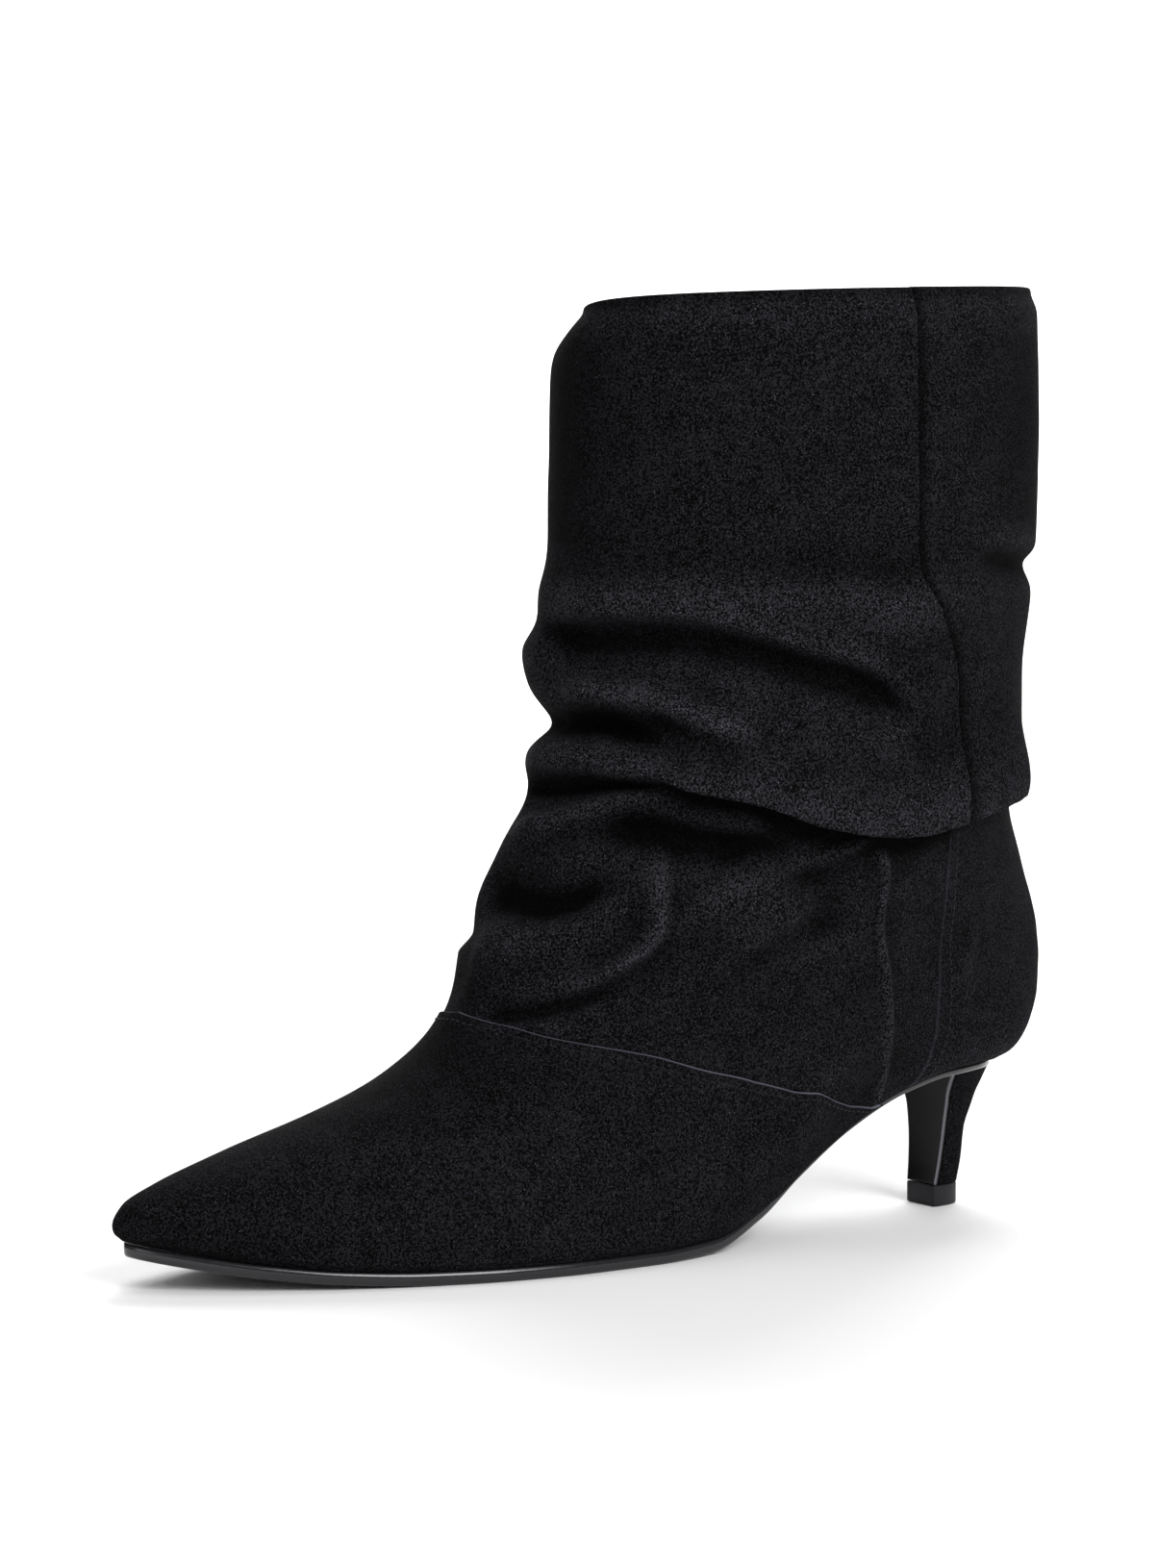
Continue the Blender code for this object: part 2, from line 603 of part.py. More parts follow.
def heel_ring(height: float, front_inset: float, side_inset: float) -> np.ndarray:
    """Return one D-shaped section of the heel as rows of s, t and z."""
    front, back, half = heel_profile(np.array([height]))
    around = np.linspace(0.0, math.pi, HEEL_SIDES + 1)
    reach = front[0] - front_inset - back[0] - side_inset
    s = front[0] - front_inset - reach * np.sin(around)
    t = (half[0] - side_inset) * np.cos(around)
    return np.stack([s, t, np.full_like(s, height)], axis=-1)


def build_loft(name: str, rings: list, material: bpy.types.Material) -> None:
    """Build a solid through equal rings of points, each walked from the outer side over the back."""
    count = len(rings[0])
    points = np.concatenate(rings)
    last = (len(rings) - 1) * count
    faces = [tuple(reversed(range(count))), tuple(range(last, last + count))]
    for row in range(len(rings) - 1):
        faces += ring_strip(row * count, (row + 1) * count, count)
    make_object(name, points, faces, material)


def under_sole(ring: np.ndarray) -> np.ndarray:
    """Return a section with its points raised to just under the outsole."""
    raised = ring.copy()
    raised[:, 2] = sole_under(ring[:, 0]) - GAP
    return raised


def build_heel(suede: bpy.types.Material, patent: bpy.types.Material, rubber: bpy.types.Material) -> None:
    """Build the covered heel block, the glossy cover on its breast and the top piece below."""
    set_back = BREAST_THICKNESS + GAP
    heights = [row.height for row in HEEL]
    blocks = [heel_ring(height, set_back, 0.0) for height in heights]
    build_loft("heel", blocks[:-1] + [under_sole(blocks[-1])], suede)
    covers = []
    for height in heights:
        front, _, half = (value[0] for value in heel_profile(np.array([height])))
        edge = ((0.0, half), (-BREAST_THICKNESS, half), (-BREAST_THICKNESS, -half), (0.0, -half))
        covers.append(np.array([(front + s, t, height) for s, t in edge]))
    build_loft("heel_breast", covers[:-1] + [under_sole(covers[-1])], patent)
    foot = heel_ring(HEEL[0].height, 0.0, 0.0)
    build_loft("top_piece", [foot * (1, 1, 0), foot * (1, 1, 0) + (0, 0, TOP_PIECE_THICKNESS)], rubber)


def feather(s: np.ndarray) -> np.ndarray:
    """Return the height of the feather edge, where the upper meets the outsole."""
    return sole_under(s) + sole_thickness(s)


def main() -> None:
    """Build the boot."""
    clear_scene()
    suede = make_material("suede", SUEDE, 0.95)
    sole_black = make_material("sole", SOLE_BLACK, 0.35)
    patent = make_material("patent", PATENT, 0.2)
    rubber = make_material("rubber", RUBBER, 0.6)
    lining = make_material("lining", LINING, 0.8)
    build_upper(suede)
    build_plate("outsole", SOLE_SET_IN, sole_under, lambda s: feather(s) - GAP, sole_black)
    build_plate("insole", WALL + 2 * GAP, feather, lambda s: feather(s) + INSOLE_THICKNESS, lining)
    build_heel(suede, patent, rubber)


main()
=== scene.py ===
"""Looks of the left slouch boot: its suede panels, folds, seams, sole edge, heel, lining and studio."""

import logging
import math
from dataclasses import dataclass, fields
from enum import Enum
from typing import Callable

import bpy
import numpy as np
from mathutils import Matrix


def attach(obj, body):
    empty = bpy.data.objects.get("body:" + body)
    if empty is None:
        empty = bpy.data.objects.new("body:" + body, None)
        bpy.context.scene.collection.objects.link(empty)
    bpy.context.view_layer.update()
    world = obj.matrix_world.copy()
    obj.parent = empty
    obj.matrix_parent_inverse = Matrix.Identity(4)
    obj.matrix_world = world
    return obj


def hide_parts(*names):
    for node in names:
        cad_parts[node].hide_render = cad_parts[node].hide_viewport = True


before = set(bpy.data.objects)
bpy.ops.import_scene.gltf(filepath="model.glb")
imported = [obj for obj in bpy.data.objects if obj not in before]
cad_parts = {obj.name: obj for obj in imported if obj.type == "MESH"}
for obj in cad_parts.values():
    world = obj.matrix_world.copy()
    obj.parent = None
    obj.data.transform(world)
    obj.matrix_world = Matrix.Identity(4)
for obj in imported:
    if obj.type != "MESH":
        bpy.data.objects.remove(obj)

LOG = logging.getLogger("boot")
MM = 0.001
Array = np.ndarray
Material = bpy.types.Material
Tree = bpy.types.NodeTree
Socket = bpy.types.NodeSocket


class Side(Enum):
    """The two sides of the boot: the outer one faces +X."""

    OUTER = 1
    INNER = -1


@dataclass(frozen=True)
class SolePoint:
    """Half widths of the sole and height of its underside at one place along the boot, in mm."""

    s: float
    outer: float
    inner: float
    under: float


@dataclass(frozen=True)
class Level:
    """One closed ring of the upper, from the feather edge at the sole to the collar, in mm."""

    front_s: float
    front_z: float
    back_s: float
    back_z: float
    outer: float
    inner: float
    wide_s: float
    round_plan: float
    straight: float


@dataclass(frozen=True)
class Fold:
    """A soft ridge or trough along a path of (turn, height) places on the upper.

    Turns run from 0 at the toe through 0.25 on the outer side and 0.5 at the heel; the inner side
    has negative turns. A positive push is a ridge. The widths are those on the left and right of
    the path as it is walked, so above and below a path that runs to larger turns. The droop is how
    far the crest hangs down, as a share of its push. The last value paints the suede's colour
    lighter along the fold, a painted highlight, or darker where it is negative, painted shade.
    """

    path: tuple
    push: float
    above: float
    below: float
    droop: float = 0.0
    taper: float = 0.22
    shade_paint: float = 0.0


@dataclass(frozen=True)
class EdgePoint:
    """Where a panel's edge crosses the upper: turn from the toe and level of the ring."""

    turn: float
    level: float


SOLE = tuple(SolePoint(*row) for row in (
    (265.0, -5.0, 5.0, 8.4), (260.0, 1.8, 10.6, 7.2), (251.0, 8.2, 16.2, 5.4), (238.0, 15.6, 22.4, 3.2),
    (220.0, 23.6, 29.0, 1.2), (200.0, 30.2, 34.2, 0.2), (180.0, 34.8, 36.4, 0.0),
    (160.0, 36.6, 35.4, 0.0), (140.0, 35.8, 31.8, 0.0), (122.0, 32.8, 26.8, 0.8),
    (105.0, 28.8, 22.4, 6.8), (90.0, 25.6, 19.8, 16.0), (72.0, 23.6, 19.2, 26.2),
    (54.0, 22.8, 20.2, 33.6), (38.0, 21.4, 20.2, 36.8), (26.0, 17.8, 17.4, 37.2),
    (17.5, 11.4, 11.4, 36.9), (13.0, 0.0, 0.0, 36.6),
))

LEVELS = tuple(Level(*row) for row in (
    (265.0, 12.0, 13.0, 38.8, 36.6, 36.4, 150.0, 0.0, 0.0),
    (266.4, 15.5, 7.0, 42.4, 37.9, 37.6, 148.0, 0.10, 0.0),
    (264.0, 19.5, 2.6, 49.0, 38.8, 38.4, 144.0, 0.25, 0.02),
    (255.0, 24.0, 0.4, 57.0, 38.9, 38.4, 138.0, 0.50, 0.06),
    (238.0, 29.8, 0.2, 65.0, 38.4, 37.6, 130.0, 0.80, 0.16),
    (216.0, 36.4, 1.4, 73.0, 37.8, 36.8, 118.0, 1.0, 0.34),
    (195.0, 44.4, 4.4, 81.0, 38.2, 37.0, 104.0, 1.0, 0.60),
    (180.0, 54.4, 7.4, 89.0, 40.0, 38.6, 92.0, 1.0, 0.84),
    (170.5, 69.0, 9.6, 97.0, 43.2, 41.6, 84.0, 1.0, 1.0),
    (165.5, 85.0, 11.0, 106.0, 46.6, 45.0, 80.0, 1.0, 1.0),
    (157.5, 99.0, 12.4, 115.0, 49.6, 48.2, 78.0, 1.0, 1.0),
    (151.0, 113.0, 12.8, 124.0, 51.8, 50.6, 77.0, 1.0, 1.0),
    (147.0, 129.0, 13.0, 137.0, 53.0, 52.2, 76.5, 1.0, 1.0),
    (144.5, 147.0, 12.6, 152.0, 53.4, 53.0, 76.0, 1.0, 1.0),
    (142.0, 165.0, 12.0, 168.0, 53.4, 53.4, 75.5, 1.0, 1.0),
    (141.4, 190.0, 11.2, 192.0, 54.0, 54.0, 75.5, 1.0, 1.0),
    (141.2, 214.0, 11.6, 216.0, 54.0, 54.0, 75.5, 1.0, 1.0),
    (141.0, 234.6, 11.6, 239.0, 53.4, 53.4, 75.5, 1.0, 1.0),
))

FOLDS = tuple(Fold(*row) for row in (
    # Outer side and front, from the top band down to the vamp.
    (((-0.12, 163), (0.0, 161), (0.12, 162), (0.25, 160), (0.32, 163)),
     2.4, 6, 8, 0.0, 0.22, 0.25),
    (((-0.25, 149), (-0.17, 148), (-0.10, 147), (-0.04, 147), (0.02, 148)), 4.2, 6, 9, 0.0, 0.3),
    (((-0.04, 153), (0.04, 154.5), (0.10, 154), (0.14, 151), (0.18, 146), (0.22, 141), (0.25, 129)),
     -6.0, 2.0, 7.5, 0.0, 0.14),
    (((-0.01, 140), (0.03, 139), (0.07, 138), (0.11, 135), (0.16, 129)),
     3.8, 3.0, 2.4, 0.3, 0.22, 0.95),
    (((-0.30, 131), (-0.22, 130), (-0.15, 129), (-0.08, 129.5), (0.0, 131)), -9.5, 5.0, 4.5, 0.0, 0.35),
    (((-0.06, 131), (0.0, 131.5), (0.04, 132), (0.07, 130), (0.10, 126)),
     -5.0, 2.2, 3.4, 0.0, 0.3, -0.3),
    (((-0.06, 121), (0.0, 122.5), (0.06, 121.5), (0.12, 117)), 4.2, 4.5, 3.0, 0.4, 0.35),
    (((-0.04, 113), (0.015, 116), (0.06, 117.5), (0.12, 116.5)), -3.8, 2.0, 2.4, 0.0, 0.3),
    (((-0.26, 107), (-0.17, 108), (-0.09, 110), (-0.02, 113)), -8.0, 5.0, 5.0, 0.0, 0.35),
    (((0.08, 122), (0.12, 119), (0.16, 116), (0.20, 111), (0.25, 108.5), (0.31, 112), (0.40, 118)),
     5.2, 13, 2.0, 0.8, 0.12),
    (((0.28, 172), (0.34, 170.5), (0.42, 169), (0.52, 168)), -3.2, 3.0, 4.5, 0.0, 0.25),
    (((0.27, 144), (0.34, 142), (0.42, 141), (0.54, 141)), -1.8, 20, 18, 0.0, 0.3),
    (((0.27, 103), (0.34, 105), (0.42, 107), (0.54, 107)), -3.6, 9, 12, 0.0, 0.3),
    (((-0.04, 102), (0.02, 107), (0.07, 112), (0.115, 115.5)), 3.2, 3, 3.4, 0.0, 0.3),
    (((0.05, 110), (0.085, 107.5), (0.115, 105), (0.16, 102), (0.20, 99)),
     -4.2, 3.0, 6.5, 0.0, 0.3, -0.1),
    (((-0.06, 90), (0.0, 89), (0.053, 88), (0.085, 92), (0.112, 98)),
     -5.0, 7, 5.5, 0.0, 0.3, -0.55),
    (((0.10, 104), (0.117, 97), (0.128, 89), (0.132, 81), (0.124, 75), (0.105, 69), (0.08, 65)),
     3.4, 1.7, 2.4, 0.0, 0.3, 0.8),
    (((0.02, 62), (0.06, 61.5), (0.10, 64.5), (0.125, 70)), -2.6, 3.0, 2.4, 0.0, 0.3),
    (((-0.04, 74), (0.02, 76), (0.07, 77)), 2.0, 6, 7, 0.0, 0.4),
    (((0.15, 95), (0.18, 88), (0.21, 79)), 2.4, 9, 10),
    (((0.195, 100), (0.215, 92), (0.228, 84), (0.235, 74)), -2.4, 5, 5),
    (((0.19, 96), (0.212, 98), (0.236, 105)), 1.6, 2, 2.4),
    (((0.237, 101), (0.249, 95), (0.26, 84), (0.274, 75), (0.297, 64), (0.322, 51), (0.34, 31)),
     1.4, 0.8, 0.9, 0.0, 0.06, 0.9),
    (((0.351, 84), (0.358, 72), (0.366, 61), (0.372, 52)), 0.8, 2.4, 2.4, 0.0, 0.4),
    # Painted highlight or painted shade alone along these lines, with no push.
    (((-0.05, 172), (-0.04, 200), (-0.03, 232)), 0.0, 20, 20, 0.0, 0.1, -0.85),
    (((0.38, 176), (0.375, 200), (0.37, 230)), 0.0, 22, 22, 0.0, 0.1, -0.5),
    (((0.04, 114.5), (0.09, 114.5), (0.15, 111), (0.21, 105), (0.26, 102.5), (0.32, 106)),
     0.0, 4.0, 6.0, 0.0, 0.2, -0.55),
    (((0.0, 155.5), (0.06, 157), (0.13, 155.5), (0.20, 150)), 0.0, 2.0, 2.0, 0.0, 0.3, 0.35),
    (((0.01, 119), (0.06, 119.5), (0.10, 117), (0.14, 112)), 0.0, 1.2, 1.6, 0.0, 0.3, 0.4),
    (((0.126, 93), (0.131, 87), (0.132, 80), (0.126, 74)), 0.0, 1.0, 1.0, 0.0, 0.3, 2.6),
    # Inner side, as the pair's other boot shows it.
    (((-0.09, 160), (-0.15, 165), (-0.25, 168), (-0.36, 168), (-0.47, 165)), 3.4, 2.0, 12, -0.4),
    (((-0.04, 106), (-0.12, 104), (-0.20, 102), (-0.27, 98), (-0.34, 92)), -4.0, 4, 6),
    (((-0.02, 74), (-0.08, 75), (-0.15, 79), (-0.25, 83), (-0.33, 88), (-0.42, 98), (-0.49, 107)),
     4.0, 11, 2.0, 0.6, 0.12),
))

VAMP_EDGE = tuple(EdgePoint(*row) for row in (
    (0.0, 7.42), (0.05, 7.28), (0.10, 6.92), (0.17, 6.28), (0.21, 5.76), (0.26, 5.1), (0.29, 4.35),
    (0.32, 2.3), (0.345, 0.50), (0.352, 0.0), (0.50, 0.0),
))

BACK_EDGE = tuple(EdgePoint(*row) for row in (
    (0.365, 0.0), (0.359, 2.6), (0.349, 4.6), (0.325, 6.9), (0.306, 8.4), (0.296, 9.7), (0.291, 11.3),
    (0.283, 12.7), (0.266, 13.5), (0.250, 14.2), (0.247, 17.0),
))


def smooth_table(at: Array, knots: Array, values: Array) -> Array:
    """Interpolate a table with a monotone cubic.

    Args:
        at: places to read the table at.
        knots: rising places of the table's rows.
        values: the column's value in each row.

    Returns:
        The column's value at each place.
    """
    knots = np.asarray(knots, float)
    values = np.asarray(values, float)
    span = np.diff(knots)
    slope = np.diff(values) / span
    tangent = np.zeros_like(values)
    weight_a = 2.0 * span[1:] + span[:-1]
    weight_b = span[1:] + 2.0 * span[:-1]
    same = slope[1:] * slope[:-1] > 0.0
    safe_a = np.where(same, slope[:-1], 1.0)
    safe_b = np.where(same, slope[1:], 1.0)
    mean = (weight_a + weight_b) / (weight_a / safe_a + weight_b / safe_b)
    tangent[1:-1] = np.where(same, mean, 0.0)
    tangent[0] = slope[0]
    tangent[-1] = slope[-1]
    at = np.clip(at, knots[0], knots[-1])
    row = np.clip(np.searchsorted(knots, at) - 1, 0, len(span) - 1)
    x = (at - knots[row]) / span[row]
    h = span[row]
    return (
        values[row] * (1 + 2 * x) * (1 - x) ** 2
        + tangent[row] * h * x * (1 - x) ** 2
        + values[row + 1] * x * x * (3 - 2 * x)
        + tangent[row + 1] * h * x * x * (x - 1)
    )


def column(rows: tuple, name: str) -> Array:
    """Return one named column of a table as an array."""
    return np.array([getattr(row, name) for row in rows])


def ease(x: Array) -> Array:
    """Return the smooth step of x: 0 below 0, 1 above 1."""
    x = np.clip(x, 0.0, 1.0)
    return x * x * (3.0 - 2.0 * x)


def wave(place: Array, lengths: tuple, seed: int, count: int = 6) -> Array:
    """Return a smooth random field between about -1 and 1: a sum of sine waves in random directions.

    Args:
        place: points as (..., 3), in mm.
        lengths: shortest and longest wavelength, in mm.
        seed: number that fixes the directions and phases.
        count: number of waves.

    Returns:
        The field's value at each point.
    """
    random = np.random.default_rng(seed)
    total = np.zeros(place.shape[:-1])
    for _ in range(count):
        direction = random.normal(size=3)
        direction /= np.linalg.norm(direction)
        length = random.uniform(*lengths)
        total += np.sin((place @ direction) * (2 * math.pi / length) + random.uniform(0, 2 * math.pi))
    return total / math.sqrt(count)


@dataclass(frozen=True)
class BootForm:
    """The boot's form as functions of turn and level, in boot millimetres.

    s runs forward from the back of the heel to the toe, t out to the wearer's left, z up.
    """

    length: float = 265.0
    seat_back: float = 13.0
    tread_thickness: float = 3.6
    seat_thickness: float = 2.2
    wall: float = 1.8
    lap: float = 0.9
    back_lap: float = 0.6
    gap: float = 0.3
    swing: float = -5.0
    turn_length: float = 350.0
    origin_s: float = 133.0
    rim_lean: float = 1.8
    rim_reach: float = 0.15
    corner_lean: float = 8.5
    corner_turn: float = -0.13
    corner_spread: float = 0.12
    corner_reach: float = 0.45
    corner_drop: float = 3.0

    @property
    def top(self) -> float:
        """Level of the collar."""
        return len(LEVELS) - 1.0

    def place(self, points: Array) -> Array:
        """Turn boot places in millimetres into scene places in metres."""
        s, t, z = np.moveaxis(np.asarray(points, float), -1, 0)
        return np.stack([t, self.origin_s - s, z], axis=-1) * MM

    def sole_plan(self, turn: Array) -> tuple[Array, Array]:
        """Return s and t of the sole's outline at turns from the toe round the outer side."""
        middle = 0.5 * (self.length + self.seat_back)
        half = 0.5 * (self.length - self.seat_back)
        angle = 2 * math.pi * np.mod(turn, 1.0)
        folded = np.where(angle > math.pi, 2 * math.pi - angle, angle)
        knots = np.arccos(np.clip((column(SOLE, "s") - middle) / half, -1.0, 1.0))
        outer = smooth_table(folded, knots, column(SOLE, "outer"))
        inner = -smooth_table(folded, knots, column(SOLE, "inner"))
        return middle + half * np.cos(folded), np.where(angle > math.pi, inner, outer)

    def sole_inset(self, turn: Array, inset: Array) -> tuple[Array, Array]:
        """Return the sole's outline moved in along its own normal."""
        step = 2.0e-4
        s, t = self.sole_plan(turn)
        ahead_s, ahead_t = self.sole_plan(turn + step)
        behind_s, behind_t = self.sole_plan(turn - step)
        along_s = ahead_s - behind_s
        along_t = ahead_t - behind_t
        length = np.hypot(along_s, along_t)
        return s - inset * along_t / length, t + inset * along_s / length

    def sole_under(self, s: Array) -> Array:
        """Return the height of the sole's underside along the boot."""
        rows = SOLE[::-1]
        return smooth_table(s, column(rows, "s"), column(rows, "under"))

    def feather(self, s: Array) -> Array:
        """Return the height of the feather edge, where the upper meets the outsole."""
        waist = ease((np.asarray(s, float) - 60.0) / 60.0)
        thicker = self.tread_thickness - self.seat_thickness
        return self.sole_under(s) + self.seat_thickness + thicker * waist

    def base(self, turn: Array, level: Array) -> Array:
        """Return points of the upper's outer face without its folds.

        Each ring blends the sole's outline into an oval, and its height blends the feather line,
        lifted, into a straight line from its front to its back.
        """
        knots = np.arange(len(LEVELS))
        read = Level(*(smooth_table(level, knots, column(LEVELS, entry.name)) for entry in fields(Level)))
        cosine = np.cos(2 * math.pi * turn)
        sine = np.sin(2 * math.pi * turn)
        reach = np.where(cosine > 0, read.front_s - read.wide_s, read.wide_s - read.back_s)
        oval_s = read.wide_s + reach * cosine
        width = np.where(sine > 0, read.outer, read.inner)
        fullness = np.where(cosine > 0, 1.0, 0.86)
        forward = np.clip((oval_s - 150.0) / (self.length - 150.0), 0.0, 1.1)
        oval_t = np.sign(sine) * width * np.abs(sine) ** fullness + self.swing * forward**2
        sole_s, sole_t = self.sole_plan(turn)
        along = (sole_s - self.seat_back) / (self.length - self.seat_back)
        foot_s = read.back_s + (read.front_s - read.back_s) * along
        foot_t = sole_t * width / np.where(sine > 0, LEVELS[0].outer, LEVELS[0].inner)
        s = foot_s + (oval_s - foot_s) * read.round_plan
        t = foot_t + (oval_t - foot_t) * read.round_plan
        along = (s - read.back_s) / (read.front_s - read.back_s)
        lift_front = read.front_z - LEVELS[0].front_z
        lift_back = read.back_z - LEVELS[0].back_z
        soft_z = self.feather(sole_s) + lift_back + (lift_front - lift_back) * along
        line_z = read.back_z + (read.front_z - read.back_z) * along
        return np.stack([s, t, soft_z + (line_z - soft_z) * read.straight], axis=-1)

    def shade_paint(self, turn: Array, level: Array) -> Array:
        """Return how much lighter or darker the folds paint the suede's colour: painted light and shade."""
        return fold_field(turn, self.base(turn, level)[..., 2], self.turn_length)[2]

    def normal(self, turn: Array, level: Array) -> Array:
        """Return outward unit normals of the base surface."""
        step = 2.0e-4
        rise = 1.0e-3
        across = self.base(turn + step, level) - self.base(turn - step, level)
        low = np.maximum(level - rise, 0.0)
        upward = self.base(turn, np.minimum(level + rise, self.top)) - self.base(turn, low)
        normal = np.cross(across, upward)
        return normal / np.linalg.norm(normal, axis=-1, keepdims=True)

    def collar(self, turn: Array, level: Array) -> tuple[Array, Array]:
        """Return how far the collar leans in, and how far it sinks at its front inner corner, in mm."""
        folded = turn - np.round(turn)
        corner = np.exp(-(((folded - self.corner_turn) / self.corner_spread) ** 2))
        edge = np.exp(-(((self.top - level) / self.rim_reach) ** 2))
        deep = corner * np.exp(-(((self.top - level) / self.corner_reach) ** 2))
        return self.rim_lean * edge + self.corner_lean * deep, self.corner_drop * deep

    def outer(self, turn: Array, level: Array, lift: Array = 0.0) -> Array:
        """Return points of the folded upper, moved out from its face by a lift in mm."""
        base = self.base(turn, level)
        push, droop, _ = fold_field(turn, base[..., 2], self.turn_length)
        lean, sink = self.collar(turn, level)
        push = push - lean
        droop = droop + sink
        slack = ease((base[..., 2] - 60.0) / 25.0) * (1.0 - 0.75 * ease((base[..., 2] - 165.0) / 12.0))
        push = push + slack * (0.55 * wave(base, (38.0, 70.0), 4) + 0.16 * wave(base, (12.0, 22.0), 9))
        push = push + 0.12 * wave(base, (25.0, 50.0), 12)
        point = base + self.normal(turn, level) * (push + lift)[..., None]
        point[..., 2] -= droop
        return point


def walk_path(path: tuple, turn_length: float, steps: int = 8) -> Array:
    """Return a smooth line (Catmull-Rom) of (turn length, height) points, in mm, through a path."""
    points = np.array(path, float) * (turn_length, 1.0)
    ends = np.vstack([2 * points[0] - points[1], points, 2 * points[-1] - points[-2]])
    x = np.linspace(0.0, 1.0, steps, endpoint=False)[:, None]
    line = []
    for a, b, c, d in zip(ends[:-3], ends[1:-2], ends[2:-1], ends[3:]):
        line.append(b + 0.5 * x * (c - a + x * (2 * a - 5 * b + 4 * c - d + x * (3 * (b - c) + d - a))))
    return np.vstack(line + [points[-1:]])


def one_fold(place: Array, fold: Fold, turn_length: float) -> Array:
    """Return one fold's bump, from 0 to 1, at (n, 2) places of turn length and height in mm.

    The bump is a Gaussian of the distance to the fold's line, with its own width on each side,
    and it dies away smoothly towards both ends of the line.
    """
    line = walk_path(fold.path, turn_length)
    steps = np.diff(line, axis=0)
    lengths = np.hypot(steps[:, 0], steps[:, 1])
    share = np.concatenate([[0.0], np.cumsum(lengths)]) / lengths.sum()
    nearest = np.full(len(place), 1.0e9)
    side = np.zeros(len(place))
    at = np.zeros(len(place))
    for start, step, length, low, high in zip(line[:-1], steps, lengths, share[:-1], share[1:]):
        offset = place - start
        along = np.clip((offset @ step) / length**2, 0.0, 1.0)
        away = offset - along[:, None] * step
        distance = np.hypot(away[:, 0], away[:, 1])
        closer = distance < nearest
        nearest = np.where(closer, distance, nearest)
        side = np.where(closer, step[0] * offset[:, 1] - step[1] * offset[:, 0], side)
        at = np.where(closer, low + along * (high - low), at)
    width = np.where(side > 0.0, fold.above, fold.below)
    return ease(np.minimum(at, 1.0 - at) / fold.taper) * np.exp(-((nearest / width) ** 2))


def fold_field(turn: Array, height: Array, turn_length: float) -> tuple[Array, Array, Array]:
    """Return how far the folds push the upper out, how far they hang down, in mm, and their painted light
    and shade.
    """
    folded = (turn - np.round(turn)).ravel() * turn_length
    flat = np.stack([folded, np.asarray(height, float).ravel()], axis=-1)
    total = np.zeros((3, len(flat)))
    for fold in FOLDS:
        path = np.array(fold.path, float) * (turn_length, 1.0)
        reach = 3.0 * max(fold.above, fold.below)
        low = path.min(axis=0) - reach
        high = path.max(axis=0) + reach
        gains = np.array([[fold.push], [fold.push * fold.droop], [fold.shade_paint]])
        for wrap in (-turn_length, 0.0, turn_length):
            moved = flat + (wrap, 0.0)
            near = np.all((moved > low) & (moved < high), axis=1)
            if near.any():
                total[:, near] += gains * one_fold(moved[near], fold, turn_length)
    push, droop, shade_paint = total.reshape(3, *turn.shape)
    return push, droop, shade_paint


def srgb(code: str) -> tuple[float, float, float, float]:
    """Turn an sRGB hex colour into linear red, green, blue and alpha."""
    parts = [int(code[i : i + 2], 16) / 255 for i in (1, 3, 5)]
    linear = [part / 12.92 if part <= 0.04045 else ((part + 0.055) / 1.055) ** 2.4 for part in parts]
    return (*linear, 1.0)


def add_node(tree: Tree, kind: str, settings: dict | None = None, **sockets) -> bpy.types.Node:
    """Add one node.

    Args:
        tree: the material's node tree.
        kind: the node's type name.
        settings: the node's own properties.
        sockets: values or output sockets for its inputs, by name with _ for spaces, or i0, i1 by number.

    Returns:
        The new node.
    """
    node = tree.nodes.new(kind)
    for name, value in (settings or {}).items():
        setattr(node, name, value)
    for name, value in sockets.items():
        key = int(name[1:]) if name[0] == "i" and name[1:].isdigit() else name.replace("_", " ")
        if isinstance(value, Socket):
            tree.links.new(value, node.inputs[key])
        else:
            node.inputs[key].default_value = value
    return node


def new_material(name: str) -> tuple[Material, bpy.types.Node]:
    """Return a new node material and its Principled shader."""
    material = bpy.data.materials.new(name)
    material.use_nodes = True
    return material, material.node_tree.nodes["Principled BSDF"]


def noise(tree: Tree, size_mm: float, detail: float, roughness: float = 0.5) -> Socket:
    """Add a noise in the boot's own place, with features of a size in mm, and return its value."""
    place = add_node(tree, "ShaderNodeTexCoord").outputs["Object"]
    settings = {"Vector": place, "Scale": 1.0 / (size_mm * MM), "Detail": detail, "Roughness": roughness}
    return add_node(tree, "ShaderNodeTexNoise", None, **settings).outputs["Fac"]


def roughen(tree: Tree, shader: bpy.types.Node, strength: float, height_mm: float, height: Socket) -> None:
    """Give the shader a bump of a height in mm."""
    bump = add_node(tree, "ShaderNodeBump", None, Strength=strength, Distance=height_mm * MM, Height=height)
    tree.links.new(bump.outputs["Normal"], shader.inputs["Normal"])


def sums(tree: Tree, operation: str, *values) -> Socket:
    """Add a maths node and return its value."""
    sockets = {f"i{number}": value for number, value in enumerate(values)}
    return add_node(tree, "ShaderNodeMath", {"operation": operation}, **sockets).outputs[0]


def mix(tree: Tree, factor: Socket, low: Socket | tuple, high: Socket | tuple) -> Socket:
    """Add a colour mix and return its colour."""
    return add_node(tree, "ShaderNodeMix", {"data_type": "RGBA"}, Factor=factor, i6=low, i7=high).outputs[2]


def attribute(tree: Tree, name: str) -> Socket:
    """Add a reader of one of the mesh's attributes and return its value."""
    return add_node(tree, "ShaderNodeAttribute", {"attribute_name": name}).outputs["Fac"]


